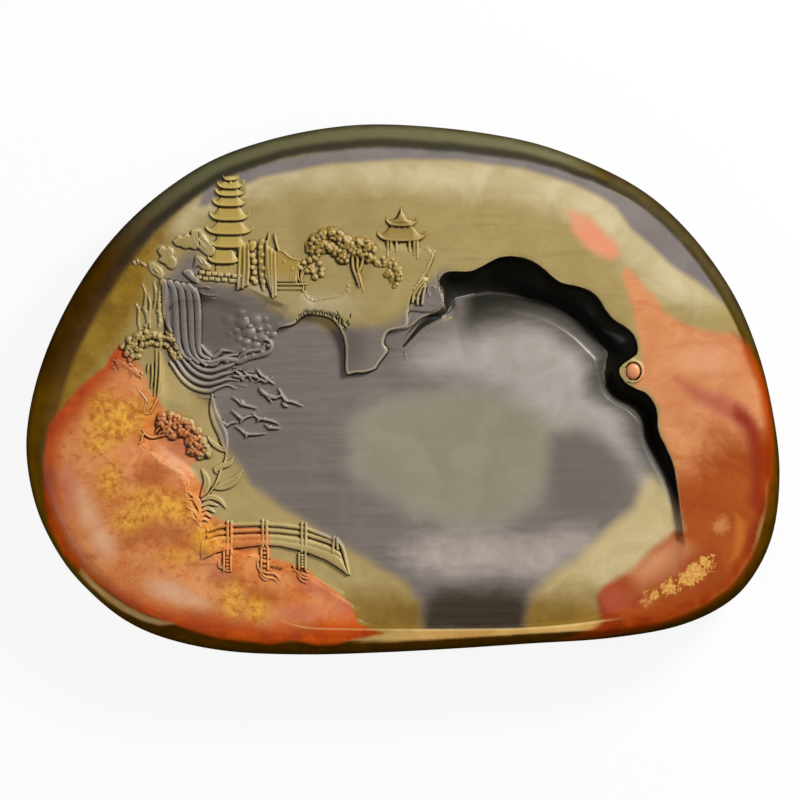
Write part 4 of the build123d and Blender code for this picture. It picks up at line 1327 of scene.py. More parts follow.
# roofs as in the pagoda; wall: left, right, top, foot, height, slits; posts: left edge, foot
pavilion = {
    "roofs": [(386.0, 416.4, 220.6, 6.2, 6.6), (377.2, 425.0, 234.4, 7.6, 13.4)], "roofHeight": 1.05,
    "wall": (389.5, 412.5, 225.6, 237, 0.42, 4),
    "posts": [(385.8, 257.5), (389.2, 250), (394.6, 252.5), (407.6, 252.5), (412.2, 256), (415.4, 259.5)],
    "postTop": 241, "postWidth": 2.8, "postHeight": 0.8, "floor": [(388, 251.5), (395, 252), (402, 252)],
    "peak": [
        (400.8, 207.5), (402.2, 213), (405.2, 218.5), (410.5, 223.5), (391, 223.5), (396.4, 218.5),
        (399.4, 213),
    ],
}


def pavilionShape(x, y, ground):
    top, width, height = [pavilion[key] for key in ("postTop", "postWidth", "postHeight")]
    return highest(
        *[roof(x, y, *row, pavilion["roofHeight"]) for row in pavilion["roofs"]],
        *[storey(x, y, left, left + width, top, low, height, 1) for left, low in pavilion["posts"]],
        pad(x, y, pavilion["peak"], height=0.85, bevel=0.5, soft=False), storey(x, y, *pavilion["wall"]),
        strand(x, y, pavilion["floor"], width=1.3, height=0.4),
    )


peakRocks = {
    "rocks": [
        [
            (700, 712), (712, 694), (728, 690), (742, 700), (756, 692), (772, 700), (784, 722), (780, 740),
            (796, 762), (794, 788), (774, 808), (752, 798), (738, 782), (716, 772), (704, 758), (716, 742),
            (706, 728),
        ],
        [
            (776, 664), (790, 652), (806, 638), (826, 640), (846, 626), (866, 634), (868, 612), (890, 602),
            (912, 606), (904, 640), (912, 668), (904, 700), (884, 708), (862, 700), (840, 704), (816, 694),
            (792, 688),
        ],
        [
            (908, 604), (926, 612), (950, 650), (990, 700), (984, 728), (958, 742), (930, 724), (906, 700),
            (912, 668), (904, 640),
        ],
        [(826, 822), (848, 806), (868, 812), (884, 836), (908, 852), (906, 878), (884, 874), (858, 856)],
        [(652, 786), (672, 770), (690, 778), (716, 800), (732, 836), (718, 858), (694, 842), (668, 826)],
        [
            (892, 738), (918, 740), (940, 762), (968, 790), (958, 812), (926, 806), (904, 790), (880, 800),
            (886, 766),
        ],
    ],
    "creases": [
        [(905, 615), (935, 655), (975, 695)], [(890, 625), (915, 668), (950, 712)],
        [(872, 640), (890, 672), (915, 705)], [(925, 612), (955, 645), (990, 685)],
        [(905, 750), (930, 785)], [(925, 755), (948, 790)], [(745, 715), (762, 745), (765, 780)],
        [(842, 822), (880, 858)], [(680, 800), (708, 830)],
    ],
    "heights": [0.62, 0.66, 0.6, 0.62, 0.4, 0.5],
}


def peakShape(x, y, ground):
    rocks = zip(seenRows("west", peakRocks["rocks"]), peakRocks["heights"])
    body = highest(*[pad(x, y, loop, height, bevel=0.6) for loop, height in rocks])
    creases = strands(x, y, seenRows("west", peakRocks["creases"]), width=1.5, height=0.85)
    return np.where(body > 0, highest(body, creases), body)


cliffLedges = {
    "runs": [
        [(622, 880), (640, 930), (636, 1000), (648, 1060), (640, 1110)],
        [(590, 980), (606, 1015), (604, 1070), (612, 1112)],
        [(716, 862), (712, 920), (704, 975), (712, 1040), (706, 1095)],
        [(650, 930), (664, 985), (656, 1050), (662, 1100)], [(680, 870), (692, 930), (684, 1000)],
        [(655, 785), (690, 800), (716, 840)], [(575, 760), (590, 785)], [(595, 755), (606, 780)],
        [(610, 765), (640, 790)],
    ],
    "large": [(712, 930), (706, 1000), (712, 1070)], "small": [(606, 1000), (640, 1000), (655, 1090)],
}


def ledgeShape(x, y, ground):
    runs = seenRows("west", cliffLedges["runs"])
    large = jitter(along(seen("west", cliffLedges["large"]), 9), 0.7)
    small = along(seen("west", cliffLedges["small"]), 8)
    return highest(
        strands(x, y, runs, width=2.8, height=0.42, ends=(0.3, 0.6)),
        beads(x, y, large, radius=2.0, height=0.5), beads(x, y, jitter(small, 1.2), radius=1.5, height=0.4),
    )


fall = {
    "sheet": [
        (722, 862), (785, 872), (880, 890), (908, 925), (914, 1000), (914, 1180), (906, 1225), (860, 1225),
        (815, 1160), (775, 1115), (738, 1090), (730, 1000),
    ],
    "ribs": [
        [(727, 868), (738, 900), (742, 1000), (750, 1080), (768, 1120)],
        [(762, 874), (782, 910), (790, 1000), (794, 1110), (802, 1180), (826, 1232), (864, 1262)],
        [(795, 880), (820, 915), (828, 1000), (832, 1090), (840, 1180), (862, 1238), (904, 1276)],
        [(828, 888), (856, 918), (866, 1000), (869, 1110), (874, 1190), (896, 1248), (944, 1288)],
        [(858, 892), (890, 930), (900, 1000), (902, 1110), (904, 1190), (918, 1235), (960, 1258)],
    ],
    "top": 283.0,
}


def fallShape(x, y, ground):
    # a sheet that drops by (1 - t)^2 from the lip, with rounded ribs down it
    py = toPixels(x, y)[1]
    t = np.clip((py - fall["top"]) / 66, 0, 1)
    sheet = pad(x, y, seen("west", fall["sheet"]), height=0.5, bevel=0.4)
    ribs = strands(x, y, seenRows("west", fall["ribs"]), width=7.4, height=1.15, ends=(0.9, 0.5))
    body = highest(sheet, ribs)
    lift = np.clip(29.9 - ground, 0, 2.3) * (1 - t) ** 2
    return np.where(body > 0, np.minimum(body + lift, 30.9 - ground), body)


streamTerraces = {
    "runs": [
        [
            (186, 352), (193, 362), (203, 368.5), (213, 370.5), (222, 368), (230, 364.5), (238, 361),
            (246, 356),
        ],
        [(181, 356), (189, 368), (199, 375), (210, 377), (221, 373.5), (230, 371), (239, 368.5)],
        [(176, 359), (186, 373), (197, 381.5), (208, 384), (219, 381), (228, 378.5), (240, 380)],
        [(171, 362), (183, 379), (194, 388), (206, 391), (217, 388), (228, 386), (236, 388)],
        [(196, 352), (203, 361), (213, 364), (221, 359), (229, 355.5), (238, 354)],
        [(201, 345), (207, 353), (214, 357), (219, 352.5), (224, 349.5), (232, 350)],
    ],
    "fine": [
        [(200, 396), (209, 397), (216, 394)], [(240, 374), (247, 371), (254, 372)],
        [(238, 384), (248, 386)],
    ],
}


def streamShape(x, y, ground):
    runs = [jitter(row, 0.6) for row in streamTerraces["runs"]]
    return highest(
        strands(x, y, runs, width=4.6, height=0.62, ends=(0.6, 0.25)),
        strands(x, y, streamTerraces["fine"], width=1.8, height=0.3),
    )


def lumps(x, y, rows):
    # soft stones, each (pixel, radius in pixels, height): height * (1 - (gap / radius)^2)^1.3
    out = np.full(x.shape, -1.0)
    for px, py, radius, height in rows:
        cx, cy = plan([(px, py)])[0]
        gap = ((x - cx) / (radius * scale)) ** 2 + ((y - cy) / (0.86 * radius * scale)) ** 2
        out = np.maximum(out, np.where(gap < 1, height * np.maximum(1 - gap, 0) ** 1.3, -1))
    return out


shoreRocks = {
    "rocks": [
        (243, 323, 8, 0.8), (256, 320, 7, 0.75), (249, 332, 7.5, 0.8), (262, 337, 7, 0.7),
        (269, 327, 6, 0.7), (241, 313, 5.5, 0.5), (266, 319, 5, 0.55), (236, 330, 5, 0.5),
        (256, 345, 5, 0.6), (246, 342, 5, 0.6), (273, 334, 4.5, 0.6), (263, 348, 4, 0.6),
        (239, 339, 4, 0.4), (251, 351, 4, 0.5), (243, 350, 3, 0.4), (250, 326, 4, 0.95),
        (260, 329, 3.6, 0.85), (245, 319, 3.4, 0.95), (255, 338, 3, 0.8), (267, 333, 2.8, 0.85),
        (228, 320, 6, 0.3), (230, 334, 4, 0.3),
    ],
    "hook": [
        (352, 1238), (378, 1250), (388, 1280), (366, 1310), (316, 1326), (262, 1338), (212, 1358),
        (172, 1350), (120, 1346), (60, 1362), (10, 1352),
    ],
    "spur": [(352, 1262), (330, 1292), (268, 1302), (228, 1322), (206, 1342)],
    "knobs": [
        (268, 345), (262, 351), (253, 355), (245, 358), (236, 360), (227, 362), (218, 361), (209, 361),
    ],
    "creases": [
        [(0, 960), (30, 955), (60, 965)], [(0, 985), (40, 1000), (90, 1004)], [(40, 1012), (85, 1020)],
    ],
}


def shoreShape(x, y, ground):
    rocks = lumps(x, y, shoreRocks["rocks"])
    hook = highest(
        strand(x, y, seen("north", shoreRocks["hook"]), width=6.0, height=0.95, ends=(0.5, 0.6)),
        strand(x, y, seen("north", shoreRocks["spur"]), width=4.0, height=0.85),
    )
    body = highest(rocks, hook)
    knobs = lumps(x, y, [(px, py, 3.4, 1.1) for px, py in jitter(shoreRocks["knobs"], 0.5)])
    crease = seenRows("north", shoreRocks["creases"])
    return highest(body, knobs, strands(x, y, crease, width=1.5, height=0.75))


flyingBirds = {
    "north": [
        [(180, 1402), (206, 1418), (232, 1440), (262, 1432), (282, 1462)],
        [(236, 1408), (262, 1432), (300, 1440), (336, 1462)],
        [(300, 1470), (330, 1455), (352, 1466), (392, 1448)],
        [(308, 1400), (330, 1430), (356, 1448), (402, 1480)], [(176, 1436), (205, 1440), (232, 1452)],
        [(320, 1500), (352, 1530), (384, 1548), (412, 1560)],
    ],
    "south": [
        [(330, 52), (362, 74), (388, 100), (402, 122)], [(388, 100), (420, 96), (456, 84), (470, 78)],
        [(440, 44), (462, 84), (482, 112), (520, 120), (572, 142)], [(340, 70), (372, 80), (430, 92)],
        [(182, 92), (212, 112), (236, 132), (286, 146), (320, 156)], [(226, 106), (240, 128), (236, 142)],
        [(178, 168), (206, 190), (234, 212), (270, 200), (306, 196)], [(228, 238), (238, 214), (262, 204)],
        [(296, 184), (326, 210), (362, 216), (402, 226), (440, 242)], [(320, 232), (334, 214), (350, 210)],
        [(100, 214), (126, 232), (150, 248), (176, 236), (214, 232)], [(144, 262), (152, 246), (166, 240)],
        [(200, 256), (226, 272), (256, 296), (300, 300), (366, 296)], [(258, 322), (264, 300), (278, 296)],
        [(460, 120), (476, 138), (492, 146)], [(366, 246), (392, 262), (446, 268)],
    ],
}


def birdShape(x, y, ground):
    # each flyer: two wings as tapered cords and a small body
    rows = flyingBirds["north"]
    low = flyingBirds["south"]
    lines = seenRows("north", rows) + seenRows("south", low)
    knots = [seen("north", [row[2]])[0] for row in rows] + [
        seen("south", [row[len(row) // 2]])[0] for row in low
    ]
    return highest(
        strands(x, y, lines, width=3.2, height=0.8, ends=(0.25, 0.35)),
        beads(x, y, knots, radius=2.2, height=0.9),
    )


cliffPine = {
    "arch": [
        (545, 1232), (560, 1190), (600, 1158), (650, 1140), (700, 1138), (745, 1150), (785, 1180),
        (812, 1220), (815, 1250),
    ],
    "inner": [(600, 1205), (640, 1180), (700, 1180), (740, 1185), (770, 1215), (790, 1250)],
    "drop": [
        (568, 1215), (575, 1245), (560, 1262), (600, 1240), (608, 1215), (520, 1198), (556, 1160),
        (750, 1125), (765, 1140), (640, 1120), (610, 1132),
    ],
    "needles": [(490, 1270), (540, 1290), (600, 1325), (560, 1330), (505, 1300)],
    "scratches": [
        [(505, 1350), (560, 1372), (600, 1400)], [(498, 1372), (540, 1392), (580, 1420)],
        [(520, 1400), (575, 1440)], [(470, 1300), (500, 1330)], [(590, 1400), (640, 1460), (660, 1500)],
        [(540, 1440), (560, 1490)],
    ],
    "trunks": [
        [(692, 1205), (694, 1290), (690, 1370), (684, 1440)],
        [(712, 1225), (712, 1320), (706, 1400), (700, 1450)], [(672, 1280), (674, 1340), (668, 1400)],
        [(705, 1440), (688, 1480), (660, 1530), (636, 1535)], [(655, 1280), (650, 1325)],
        [(640, 1470), (630, 1530)],
    ],
    "moss": [(485, 1285), (545, 1310), (600, 1340)],
}


def cliffPineShape(x, y, ground):
    arch = along(seen("west", cliffPine["arch"]), 17)
    inner = along(seen("west", cliffPine["inner"]), 10)
    drop = seen("west", cliffPine["drop"])
    needles = []
    for cx, cy in jitter(along(seen("west", cliffPine["needles"]), 34), 1.9):
        needles.append([(cx - 2.2, cy - 1.2), (cx, cy + random.normal(0, 0.6)), (cx + 2.4, cy + 1.3)])
    scratches = seenRows("west", cliffPine["scratches"])
    trunks = seenRows("west", cliffPine["trunks"])
    moss = along(seen("west", cliffPine["moss"]), 30)
    return highest(
        foliage(x, y, jitter(arch, 0.7), radius=4.4, height=1.1, knob=0.4),
        foliage(x, y, jitter(inner, 0.6), radius=3.4, height=0.9, knob=0.4),
        foliage(x, y, drop, radius=3.2, height=0.8, knob=0.4),
        strands(x, y, needles, width=1.6, height=0.45), strands(x, y, scratches, width=1.5, height=0.4),
        curls(x, y, jitter(moss, 2.6), size=1.8, height=0.5),
        strands(x, y, trunks, width=2.2, height=0.6, ends=(0.5, 0.5)),
    )


bankPine = {
    "clumps": [
        (862, 105), (908, 92), (945, 108), (852, 140), (900, 140), (948, 150), (985, 128), (1018, 142),
        (925, 210), (960, 190), (1000, 190), (1040, 172), (1068, 190), (1062, 225), (1100, 245),
        (1030, 245), (1075, 270), (1120, 285), (1040, 300), (1090, 325), (1125, 315), (890, 175),
    ],
    "branch": [
        [(745, 175), (762, 205), (800, 222), (850, 212), (900, 205)], [(738, 240), (745, 205), (770, 200)],
        [(822, 190), (842, 165), (870, 150)], [(840, 200), (868, 178), (884, 160)],
        [(860, 205), (890, 182)], [(880, 205), (905, 190)], [(722, 262), (745, 240)],
    ],
}


def bankPineShape(x, y, ground):
    clumps = seen("bank", bankPine["clumps"])
    branch = seenRows("bank", bankPine["branch"])
    return highest(foliage(x, y, clumps, radius=5.4, height=1.25, knob=0.35),
                   strands(x, y, branch, width=3.0, height=0.75, ends=(0.6, 0.5)))


def leaf(x, y, points, width, height):
    # a blade: widest a third of the way along, with a groove down its middle
    line = smoothLine(plan(points), False, 5)
    half = width * scale / 2
    out = np.full(x.shape, -1.0)
    near = nearby(x, y, line, half)
    if near.any():
        gap, share = toLine(x[near], y[near], line)
        wide = half * np.maximum(np.sin(np.pi * np.clip(share, 0.01, 0.99) ** 0.8), 0.08) ** 0.7
        across = gap / wide
        out[near] = np.where(across < 1, height * (0.55 + 0.45 * np.sqrt(np.clip(across, 0, 1))) *
                             np.sqrt(np.maximum(1 - across ** 4, 0)), -1)
    return out


bamboo = {
    "leaves": [
        (10.5, 0.8, [(148, 400), (128, 300), (96, 230), (74, 160), (70, 78)]),
        (5.2, 0.7, [(148, 398), (108, 374), (74, 350), (44, 318)]),
        (6.0, 0.75, [(92, 505), (120, 478), (165, 462), (190, 426)]),
        (9.0, 0.7, [(84, 602), (135, 588), (190, 560), (236, 508)]),
        (4.0, 0.7, [(100, 520), (88, 500), (92, 488), (130, 470)]),
    ],
    "stem": [(150, 395), (144, 440), (118, 500), (98, 560), (72, 605), (38, 645)],
}


def bambooShape(x, y, ground):
    leaves = [leaf(x, y, seen("south", points), *form) for *form, points in bamboo["leaves"]]
    return highest(*leaves, strand(x, y, seen("south", bamboo["stem"]), width=2.4, height=0.75))


orchidGrass = {
    "blades": [
        ([(8, 650), (34, 600), (40, 556), (14, 498)], 7.5),
        ([(6, 668), (60, 650), (112, 668), (148, 712)], 5.4), ([(8, 700), (50, 682), (104, 700)], 4.6),
        ([(10, 728), (44, 712), (84, 736)], 4.2), ([(8, 752), (36, 742), (66, 766)], 3.8),
        ([(8, 778), (30, 770), (50, 790)], 3.2),
    ],
    "left": [
        [(1090, 690), (1082, 640), (1050, 596), (1012, 590)],
        [(1092, 660), (1080, 610), (1046, 570), (1010, 548)],
        [(1086, 720), (1062, 670), (1030, 650), (1006, 640)], [(1095, 760), (1070, 720), (1040, 705)],
    ],
    "knots": [(1092, 715), (1088, 740), (1094, 690)],
}


def orchidShape(x, y, ground):
    blades, left = orchidGrass["blades"], orchidGrass["left"]
    rows = [leaf(x, y, seen("south", points), width, height=0.72) for points, width in blades]
    rows += [leaf(x, y, seen("bank", points), width=4.4, height=0.66) for points in left]
    rows.append(beads(x, y, seen("bank", orchidGrass["knots"]), radius=2.6, height=0.6))
    return highest(*rows)


bridge = {
    # heights of the edges at stations along the bridge, in pixels of the southern enlargement
    "stations": [0, 100, 200, 350, 450, 590, 700, 760, 800, 830],
    "rail": [850, 812, 800, 796, 802, 820, 862, 892, 930, 990],
    "second": [876, 850, 836, 830, 836, 852, 888, 912, 950, 1010],
    "deck": [905, 872, 862, 858, 864, 884, 918, 944, 975, 1030],
    "sill": [948, 912, 894, 888, 894, 916, 950, 975, 1006, 1052],
    "foot": [1004, 958, 936, 918, 924, 956, 1000, 1036, 1064, 1086],
}


def bridgeAt(x, y):
    px, py = toPixels(x, y)
    left, top, zoom = closeUps["south"]
    u, v = (px - left) * zoom, (py - top) * zoom
    return u, v, {key: np.interp(u, bridge["stations"], bridge[key]) for key in bridge if key != "stations"}


# two rounded planks one above the other, the lower one standing out: edges, level, crown
planks = [("deck", "sill", 0.55, 0.3), ("sill", "foot", 0.8, 0.35)]


def deckShape(x, y, ground):
    u, v, at = bridgeAt(x, y)
    body = np.full(x.shape, -1.0)
    for top, low, level, crown in planks:
        share = np.clip((v - at[top]) / (at[low] - at[top]), 0, 1)
        plank = level + crown * np.sqrt(np.maximum(1 - (2 * share - 1) ** 2, 0))
        body = np.where((v >= at[top]) & (v < at[low]), plank, body)
    # the right end leans with the bank, and the left end sinks into the stone
    end = 832 - 22 * np.clip((1086 - v) / 190, 0, 1) ** 0.8 * 3.0
    start = ease((u - 4) / 60)
    return np.where((u > 6) & (u < end), body * (0.35 + 0.65 * start), -1)


bridgeRailing = {
    # rails: the line they hang from, half their width, height
    "rails": [("rail", 12, 0.75), ("second", 12, 0.7)],
    "drop": 4,
    "from": 40,
    "to": 775,
    "posts": [
        [(156, 788), (156, 968)], [(176, 790), (178, 966)], [(352, 782), (352, 925)],
        [(373, 786), (374, 925)], [(570, 796), (570, 955)], [(592, 800), (592, 960)],
        [(748, 876), (742, 960)], [(764, 880), (770, 940)],
    ],
    "end": [(770, 892), (796, 932), (812, 985), (832, 1078)],
}


def railShape(x, y, ground):
    u, v, at = bridgeAt(x, y)
    between = (u > bridgeRailing["from"]) & (u < bridgeRailing["to"])
    body = np.full(x.shape, -1.0)
    for line, half, height in bridgeRailing["rails"]:
        t = 1 - ((v - at[line] - bridgeRailing["drop"]) / half) ** 2
        rail = np.where((t > 0) & between, height * np.maximum(t, 0) ** 0.5, -1)
        body = np.maximum(body, rail)
    posts = seenRows("south", bridgeRailing["posts"])
    end = seen("south", bridgeRailing["end"])
    return highest(
        body, strands(x, y, posts, width=3.2, height=1.25, ends=(0.9, 0.9)),
        strand(x, y, end, width=3.4, height=0.95, ends=(0.8, 0.8)),
    )


# piers: left, right, top, foot; each has two posts and a row of studs between them
bridgePiers = {
    "piers": [(128, 182, 955, 1062), (336, 388, 925, 1052), (546, 598, 962, 1056)], "inset": 8, "studs": 5,
    "studTop": 14, "studFoot": 16,
}


def pierShape(x, y, ground):
    rows, inset = [], bridgePiers["inset"]
    for left, right, top, low in bridgePiers["piers"]:
        for side in (left + inset, right - inset):
            post = seen("south", [(side, top), (side, low)])
            rows.append(strand(x, y, post, width=2.6, height=0.8, ends=(0.9, 0.7)))
        levels = np.linspace(
            top + bridgePiers["studTop"], low - bridgePiers["studFoot"], bridgePiers["studs"],
        )
        studs = seen("south", [((left + right) / 2, level) for level in levels])
        rows.append(beads(x, y, studs, radius=2.1, height=0.75, squash=0.8))
    return highest(*rows)


pierGrass = {
    "runs": [
        [(108, 1010), (112, 1040), (150, 1052)], [(120, 1030), (150, 1060), (182, 1062)],
        [(326, 1000), (326, 1040), (352, 1078)], [(340, 1056), (372, 1072), (418, 1078), (448, 1112)],
        [(336, 1068), (370, 1096), (412, 1104), (430, 1122)], [(334, 1080), (360, 1108), (392, 1112)],
        [(520, 1022), (528, 1052), (556, 1066)], [(552, 1062), (580, 1080), (612, 1092)],
        [(548, 1070), (572, 1096), (612, 1108)], [(546, 1084), (566, 1112), (600, 1130)],
        [(590, 1060), (606, 1072)],
    ],
}


def pierGrassShape(x, y, ground):
    runs = seenRows("south", pierGrass["runs"])
    return strands(x, y, runs, width=2.0, height=0.5, ends=(0.6, 0.2))


boulderBank = {
    "inner": [
        (120, 350), (128, 360), (139, 372), (145, 388), (146, 410), (143.5, 428), (143, 445), (151, 453.5),
        (161, 460), (170, 467.5), (178, 471.5), (184, 479), (188, 490), (189, 505), (194, 516), (198, 527),
        (202, 541), (212, 556), (226, 567), (240, 580), (254, 600), (264, 614), (282, 624), (300, 630),
    ],
    # mm
    "crisp": 0.24,
    "swell": 1.15,
    "swellRun": 22.0,
    "wave": 0.05,
    # pixels down: the crisp edge ends, the swelling leaves the brink and then sinks
    "crispEnd": 552,
    "leaveFrom": 530,
    "sinkFrom": 560,
}


def bankShape(x, y, ground):
    # a swelling that rises from the zone's edge and the water, with a scribbled inner edge;
    # south of the bridge it leaves the brink and sinks into the field
    px, py = toPixels(x, y)
    inner = boulderBank["inner"]
    near = toLine(x, y, smoothLine(plan(inner), False, 3))[0]
    angle, radius = polar(x, y)
    outside = radius - byAngle(angle, brink)
    within = insideBy(x, y, smoothLine(plan(zonePixels["bank"]), True, 2))
    gap = insideBy(x, y, outlineLoop)
    crisp = ease(np.minimum(near, np.maximum(outside, 0)) / 0.5) * ease((boulderBank["crispEnd"] - py) / 20)
    fromEdge = np.minimum(within, outside + 2 - 3 * ease((py - boulderBank["leaveFrom"]) / 20))
    swell = boulderBank["swell"] * ease(fromEdge / boulderBank["swellRun"])
    waves = boulderBank["wave"] * np.sin(px / 9.0 + 1.3) * np.sin(py / 11.0) * ease(within / 8)
    rags = highest(
        strand(x, y, jitter(along(inner[6:17], 34), 0.9), width=2.0, height=0.26, ends=(0.8, 0.8)),
        curls(x, y, jitter(along(inner[6:18], 46), 2.0), size=2.0, height=0.42),
    )
    cover = ease((gap - 1.5) / 6) * ease((within - 0.2) / 5)
    body = (boulderBank["crisp"] * crisp * ease(within / 6) + swell + waves) * cover - 0.02
    # outside its zone and past the rim it dives under the stone
    body = body - 0.07 * np.clip(2 - within, 0, 5) - 0.07 * np.clip(3 - gap, 0, 5)
    inward = 0.05 - 4 * ease((py - boulderBank["sinkFrom"]) / 15)
    body = np.where(outside > inward, body - 0.12 * np.clip(-outside, 0, 5), -1)
    return np.where(rags > 0, np.maximum(body, 0) + rags, body)


# the pearl is an ellipsoid; its curl runs round it between two angles in degrees
pearl = {
    "centre": (631.5, 371), "radii": (6.6, 7.6), "height": 0.95, "curlRadii": (9.6, 10.6),
    "curlTurn": (150, -120),
}


def pearlShape(x, y, ground):
    px, py = toPixels(x, y)
    (cx, cy), (rx, ry) = pearl["centre"], pearl["radii"]
    out = ((px - cx) / rx) ** 2 + ((py - cy) / ry) ** 2
    return np.where(out < 1, pearl["height"] * np.sqrt(np.maximum(1 - out, 0)), -1)


def curlShape(x, y, ground):
    (cx, cy), (rx, ry) = pearl["centre"], pearl["curlRadii"]
    turn = np.radians(np.linspace(*pearl["curlTurn"], 16))
    ring = np.stack([cx + rx * np.cos(turn), cy - ry * np.sin(turn)], axis=1)
    return strand(x, y, ring, width=2.6, height=0.5, ends=(0.4, 0.3))


carvings = [
    # node, corners of its grid in pixels, cell in mm, shape
    ("headland", (258, 236, 440, 380), 0.2, headlandShape),
    ("headland_shelf", (380, 274, 455, 364), 0.18, shelfShape),
    ("boulder_bank", (44, 340, 384, 646), 0.36, bankShape),
    ("pagoda", (204, 174, 256, 279), 0.15, pagodaShape),
    ("stone_terrace", (192, 268, 242, 284), 0.17, terraceShape),
    ("gate_hall", (234, 228, 306, 302), 0.15, hallShape),
    ("small_tree", (292, 254, 326, 296), 0.16, treeShape),
    ("headland_pine", (304, 226, 402, 298), 0.16, headlandPineShape),
    ("pavilion", (374, 204, 428, 263), 0.15, pavilionShape),
    ("scroll_stones", (406, 272, 430, 308), 0.16, scrollShape),
    ("peak_rocks", (146, 224, 220, 286), 0.17, peakShape),
    ("cliff_ledges", (128, 254, 168, 334), 0.18, ledgeShape),
    ("waterfall", (158, 276, 214, 372), 0.17, fallShape),
    ("shore_rocks", (196, 282, 294, 368), 0.18, shoreShape),
    ("stream_terraces", (166, 340, 260, 402), 0.18, streamShape),
    ("cliff_pine", (106, 326, 188, 418), 0.17, cliffPineShape),
    ("bank_pine", (136, 408, 216, 462), 0.16, bankPineShape),
    ("bamboo", (202, 390, 246, 500), 0.16, bambooShape),
    ("orchid_grass", (182, 464, 230, 526), 0.16, orchidShape),
    ("flying_birds", (214, 366, 306, 442), 0.17, birdShape),
    ("bridge_deck", (198, 526, 352, 578), 0.17, deckShape),
    ("bridge_railing", (202, 516, 354, 576), 0.17, railShape),
    ("bridge_piers", (216, 540, 312, 574), 0.17, pierShape),
    ("pier_grass", (214, 556, 316, 586), 0.17, pierGrassShape),
    ("pearl", (622, 360, 641, 382), 0.15, pearlShape),
    ("pearl_curl", (618, 356, 646, 386), 0.15, curlShape),
]
finishes = {
    # paint sets a colour field over the whole carving and shift moves one; lean and share set how much
    # painted shade and highlight its edges get, and calm is a line beside which they get none
    "headland": {"paint": {"sunk": -6, "lift": 0}, "lean": 0.15, "calm": headland["north"]},
    "headland_shelf": {"paint": {"sunk": -6, "lift": 0}, "lean": 0.1},
    "boulder_bank": {"paint": {"lift": 0}, "lean": 0, "share": 0.9},
    "pagoda": {"paint": {"mist": -9, "shade": -9, "cream": -9}},
    "stone_terrace": {"paint": {"lift": 0.14}},
    "gate_hall": {"paint": {"dim": 0.35}},
    "small_tree": {"paint": {"dim": 0.5}},
    "headland_pine": {"paint": {"dim": 0.9, "lift": 0.3}},
    "pavilion": {"paint": {"dim": 0.7, "lift": 0.22}},
    "peak_rocks": {"paint": {"lift": 0.1, "gold": -9}},
    "cliff_ledges": {"paint": {"lift": 0.12, "water": -9}},
    "waterfall": {"lean": 0},
    "shore_rocks": {"share": 0.6},
    "cliff_pine": {"paint": {"dim": 0.4, "water": -9, "lift": 0.25}},
    "bank_pine": {"paint": {"dim": 0.7}, "shift": {"bank": -0.9}},
    "bridge_deck": {"share": 0.6},
    "bridge_railing": {"share": 0.55},
    "pearl": {"paint": {"east": 6, "sunk": -6, "eastHeart": 6}, "lean": 0.3},
}
total = 0
for node, (left, high, right, low), step, shape in carvings:
    first, *others = node.split("_")
    name = first + "".join(word.capitalize() for word in others)
    corners = ((left, high), (right, low))
    piece = drape(name, node, corners, step, shape, finishes.get(node, {}))
    total += len(piece.data.polygons)
print("carvings", len(carvings), "faces", total)


# Floor, light and camera.
studio = {
    "aimPixel": (399.5, 399.5),
    "camera": {"height": 2.32, "lens": 300.0, "reach": 10.0},
    # name, power in W, place in m, size in m
    "lamps": [("keyLight", 10.5, (0.60, 0.50, 0.54), (0.26, 0.26)),
              ("rakeLight", 1.4, (-0.62, -0.30, 0.40), (0.5, 0.25))],
    # strength of the surroundings for matt, mirrored and camera rays
    "sky": 0.30,
    "mirror": 0.10,
    "backdrop": 1.0,
    "floorHalf": 3.0,
    "floorGrey": 0.86,
    "floorGlow": 0.9,  # share of the floor that the camera sees as plain white
}


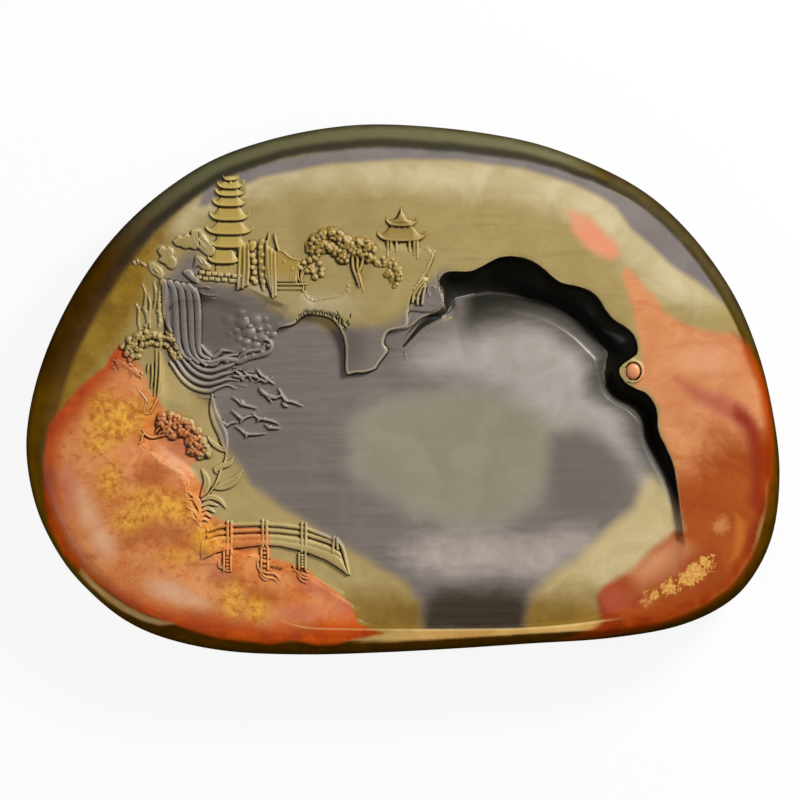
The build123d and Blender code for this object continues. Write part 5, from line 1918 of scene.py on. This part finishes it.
def makeSurroundings():
    world = bpy.data.worlds.new("studio")
    bpy.context.scene.world = world
    world.use_nodes = True
    make = nodeMaker(world.node_tree)
    rays = make("LightPath")
    sky, mirror, backdrop = [
        make("Background", {"Strength": studio[key]})[0] for key in ("sky", "mirror", "backdrop")
    ]
    around = make("MixShader", {0: rays["Is Glossy Ray"], 1: sky, 2: mirror})[0]
    surface = make("MixShader", {0: rays["Is Camera Ray"], 1: around, 2: backdrop})[0]
    make("OutputWorld", {0: surface})


def makeFloor():
    half = studio["floorHalf"]
    mesh = bpy.data.meshes.new("floor")
    corners = [(-half, -half, 0), (half, -half, 0), (half, half, 0), (-half, half, 0)]
    mesh.from_pydata(corners, [], [(0, 1, 2, 3)])
    paper = bpy.data.materials.new("paleFloor")
    paper.use_nodes = True
    make = nodeMaker(paper.node_tree)
    seenShare = make(
        "Math", {0: make("LightPath")["Is Camera Ray"], 1: studio["floorGlow"]}, operation="MULTIPLY",
    )[0]
    matt = make("BsdfDiffuse", {"Color": (studio["floorGrey"],) * 3 + (1,)})[0]
    white = make("Emission", {"Strength": 1.0})[0]
    make("OutputMaterial", {0: make("MixShader", {0: seenShare, 1: matt, 2: white})[0]})
    mesh.materials.append(paper)
    addObject("floor", mesh)


def makeLamp(name, power, spot, size):
    # a rectangle that faces the origin
    data = bpy.data.lights.new(name, "AREA")
    data.energy = power
    data.shape = "RECTANGLE"
    data.size, data.size_y = size
    lamp = addObject(name, data)
    lamp.location = spot
    lamp.rotation_mode = "QUATERNION"
    lamp.rotation_quaternion = (-Vector(spot)).to_track_quat("-Z", "Y")


def makeCamera():
    # straight above, looking down
    data = bpy.data.cameras.new("camera")
    data.lens = studio["camera"]["lens"]
    data.clip_end = studio["camera"]["reach"]
    camera = addObject("camera", data)
    x, y = plan([studio["aimPixel"]])[0] * millimetre
    camera.location = (x, y, studio["camera"]["height"])
    bpy.context.scene.camera = camera


bpy.context.scene.view_settings.view_transform = "Standard"
makeSurroundings()
makeFloor()
for lampRow in studio["lamps"]:
    makeLamp(*lampRow)
makeCamera()
print("stage set")
